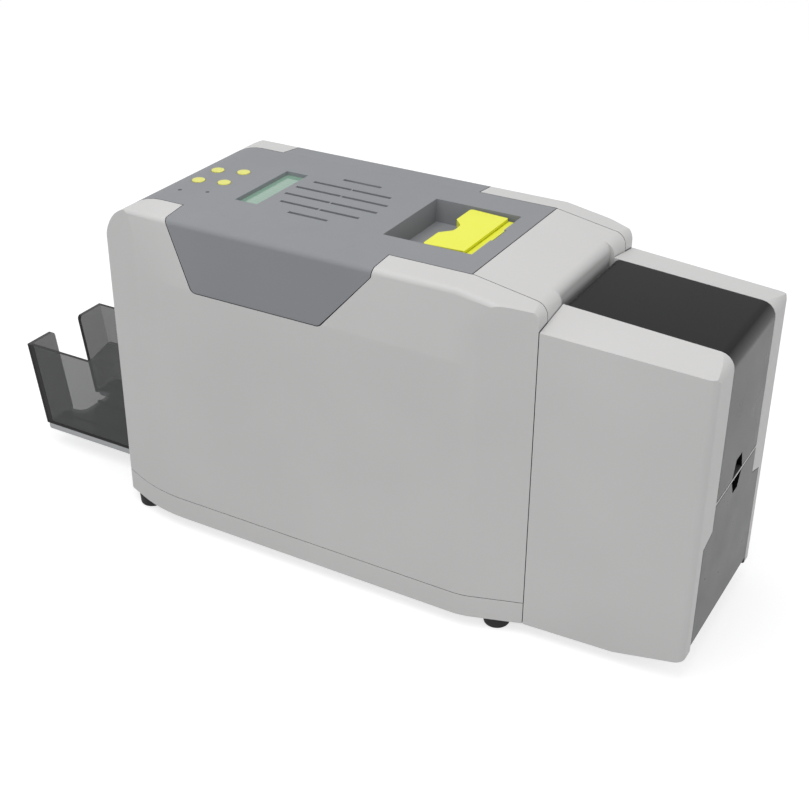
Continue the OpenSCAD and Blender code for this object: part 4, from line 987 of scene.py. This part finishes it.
def make_parts_tree(name, round_parts):
    """Blocks or drums of random sizes on a grid over a board; only a share of the places is filled."""
    tree, given, result = geometry_tree(name, [
        ("Length", FLOAT, 0.1), ("Width", FLOAT, 0.07), ("Rows", INT, 10), ("Columns", INT, 8),
        ("Size", FLOAT, 0.004), ("Height", FLOAT, 0.002), ("Share", FLOAT, 0.5), ("Seed", INT, 1),
        ("Centre", VECTOR, (0, 0, 0)), ("Material", MATERIAL, None)])
    grid = tree.nodes.new("GeometryNodeMeshGrid")
    pick = tree.nodes.new("FunctionNodeRandomValue")
    pick.data_type = "BOOLEAN"
    part = tree.nodes.new("GeometryNodeMeshCylinder" if round_parts else "GeometryNodeMeshCube")
    grow = tree.nodes.new("FunctionNodeRandomValue")
    grow.data_type = "FLOAT_VECTOR"
    grow.inputs["Min"].default_value = (0.45, 0.45, 0.6)
    grow.inputs["Max"].default_value = (1.0, 1.0, 1.0)
    placed = tree.nodes.new("GeometryNodeInstanceOnPoints")
    move = tree.nodes.new("GeometryNodeTransform")
    real = tree.nodes.new("GeometryNodeRealizeInstances")
    paint = tree.nodes.new("GeometryNodeSetMaterial")
    link = tree.links.new
    link(given.outputs["Length"], grid.inputs["Size X"])
    link(given.outputs["Width"], grid.inputs["Size Y"])
    link(given.outputs["Rows"], grid.inputs["Vertices X"])
    link(given.outputs["Columns"], grid.inputs["Vertices Y"])
    link(given.outputs["Share"], pick.inputs["Probability"])
    link(given.outputs["Seed"], pick.inputs["Seed"])
    link(given.outputs["Seed"], grow.inputs["Seed"])
    if round_parts:
        part.inputs["Vertices"].default_value = 16
        half = add_node(tree, "ShaderNodeMath", operation="MULTIPLY")
        half.inputs[1].default_value = 0.5
        link(given.outputs["Size"], half.inputs[0])
        link(half.outputs[0], part.inputs["Radius"])
        link(given.outputs["Height"], part.inputs["Depth"])
    else:
        size = tree.nodes.new("ShaderNodeCombineXYZ")
        link(given.outputs["Size"], size.inputs["X"])
        link(given.outputs["Size"], size.inputs["Y"])
        link(given.outputs["Height"], size.inputs["Z"])
        link(size.outputs[0], part.inputs["Size"])
    link(grid.outputs["Mesh"], placed.inputs["Points"])
    link(pick.outputs["Value"], placed.inputs["Selection"])
    link(part.outputs["Mesh"], placed.inputs["Instance"])
    link(grow.outputs["Value"], placed.inputs["Scale"])
    link(placed.outputs["Instances"], move.inputs["Geometry"])
    link(given.outputs["Centre"], move.inputs["Translation"])
    link(move.outputs["Geometry"], real.inputs["Geometry"])
    link(real.outputs["Geometry"], paint.inputs["Geometry"])
    link(given.outputs["Material"], paint.inputs["Material"])
    link(paint.outputs["Geometry"], result.inputs["Geometry"])
    return tree


chips_tree = make_parts_tree("board chips", False)
drums_tree = make_parts_tree("board drums", True)
print("trees:", chips_tree.name, "and", drums_tree.name)

# %% Fill both boards
BOARD_MARGIN = 16 * MM  # a board's bare border, both sides together
GRID_STEP = 1.9  # in sizes of a part
SINK = 0.98  # parts stand a little into the board
BOARDS = (  # board, body, millimetres from the node's lowest point to the face, up or down, tallest part
    ("main_board", "chassis", 8.1, 1, 9.0),
    ("control_board", "cover", 0.0, -1, 2.4),
)
empty = bpy.data.meshes.new("empty start")
for board, body, face_height, side, tallest in BOARDS:
    low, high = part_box(board)
    face = low.z + face_height * MM
    middle = (low + high) / 2
    length, width = high.x - low.x - BOARD_MARGIN, high.y - low.y - BOARD_MARGIN
    for tree, kind, size, height, share, seed, finish in (
            (chips_tree, "chips", 5.5, 1.4, 0.45, 3, black_plastic),
            (chips_tree, "resistors", 2.2, 0.7, 0.6, 8, inner_plastic),
            (drums_tree, "drums", 6.0, tallest, 0.10, 5, turned_steel)):
        step = size * GRID_STEP * MM
        grown_mesh(f"{board}_{kind}", empty.copy(), tree, {
            "Length": length, "Width": width, "Rows": round(length / step), "Columns": round(width / step),
            "Size": size * MM, "Height": height * MM, "Share": share, "Seed": seed, "Material": finish,
            "Centre": (middle.x, middle.y, face + side * height * MM / 2 * SINK),
        }, body)
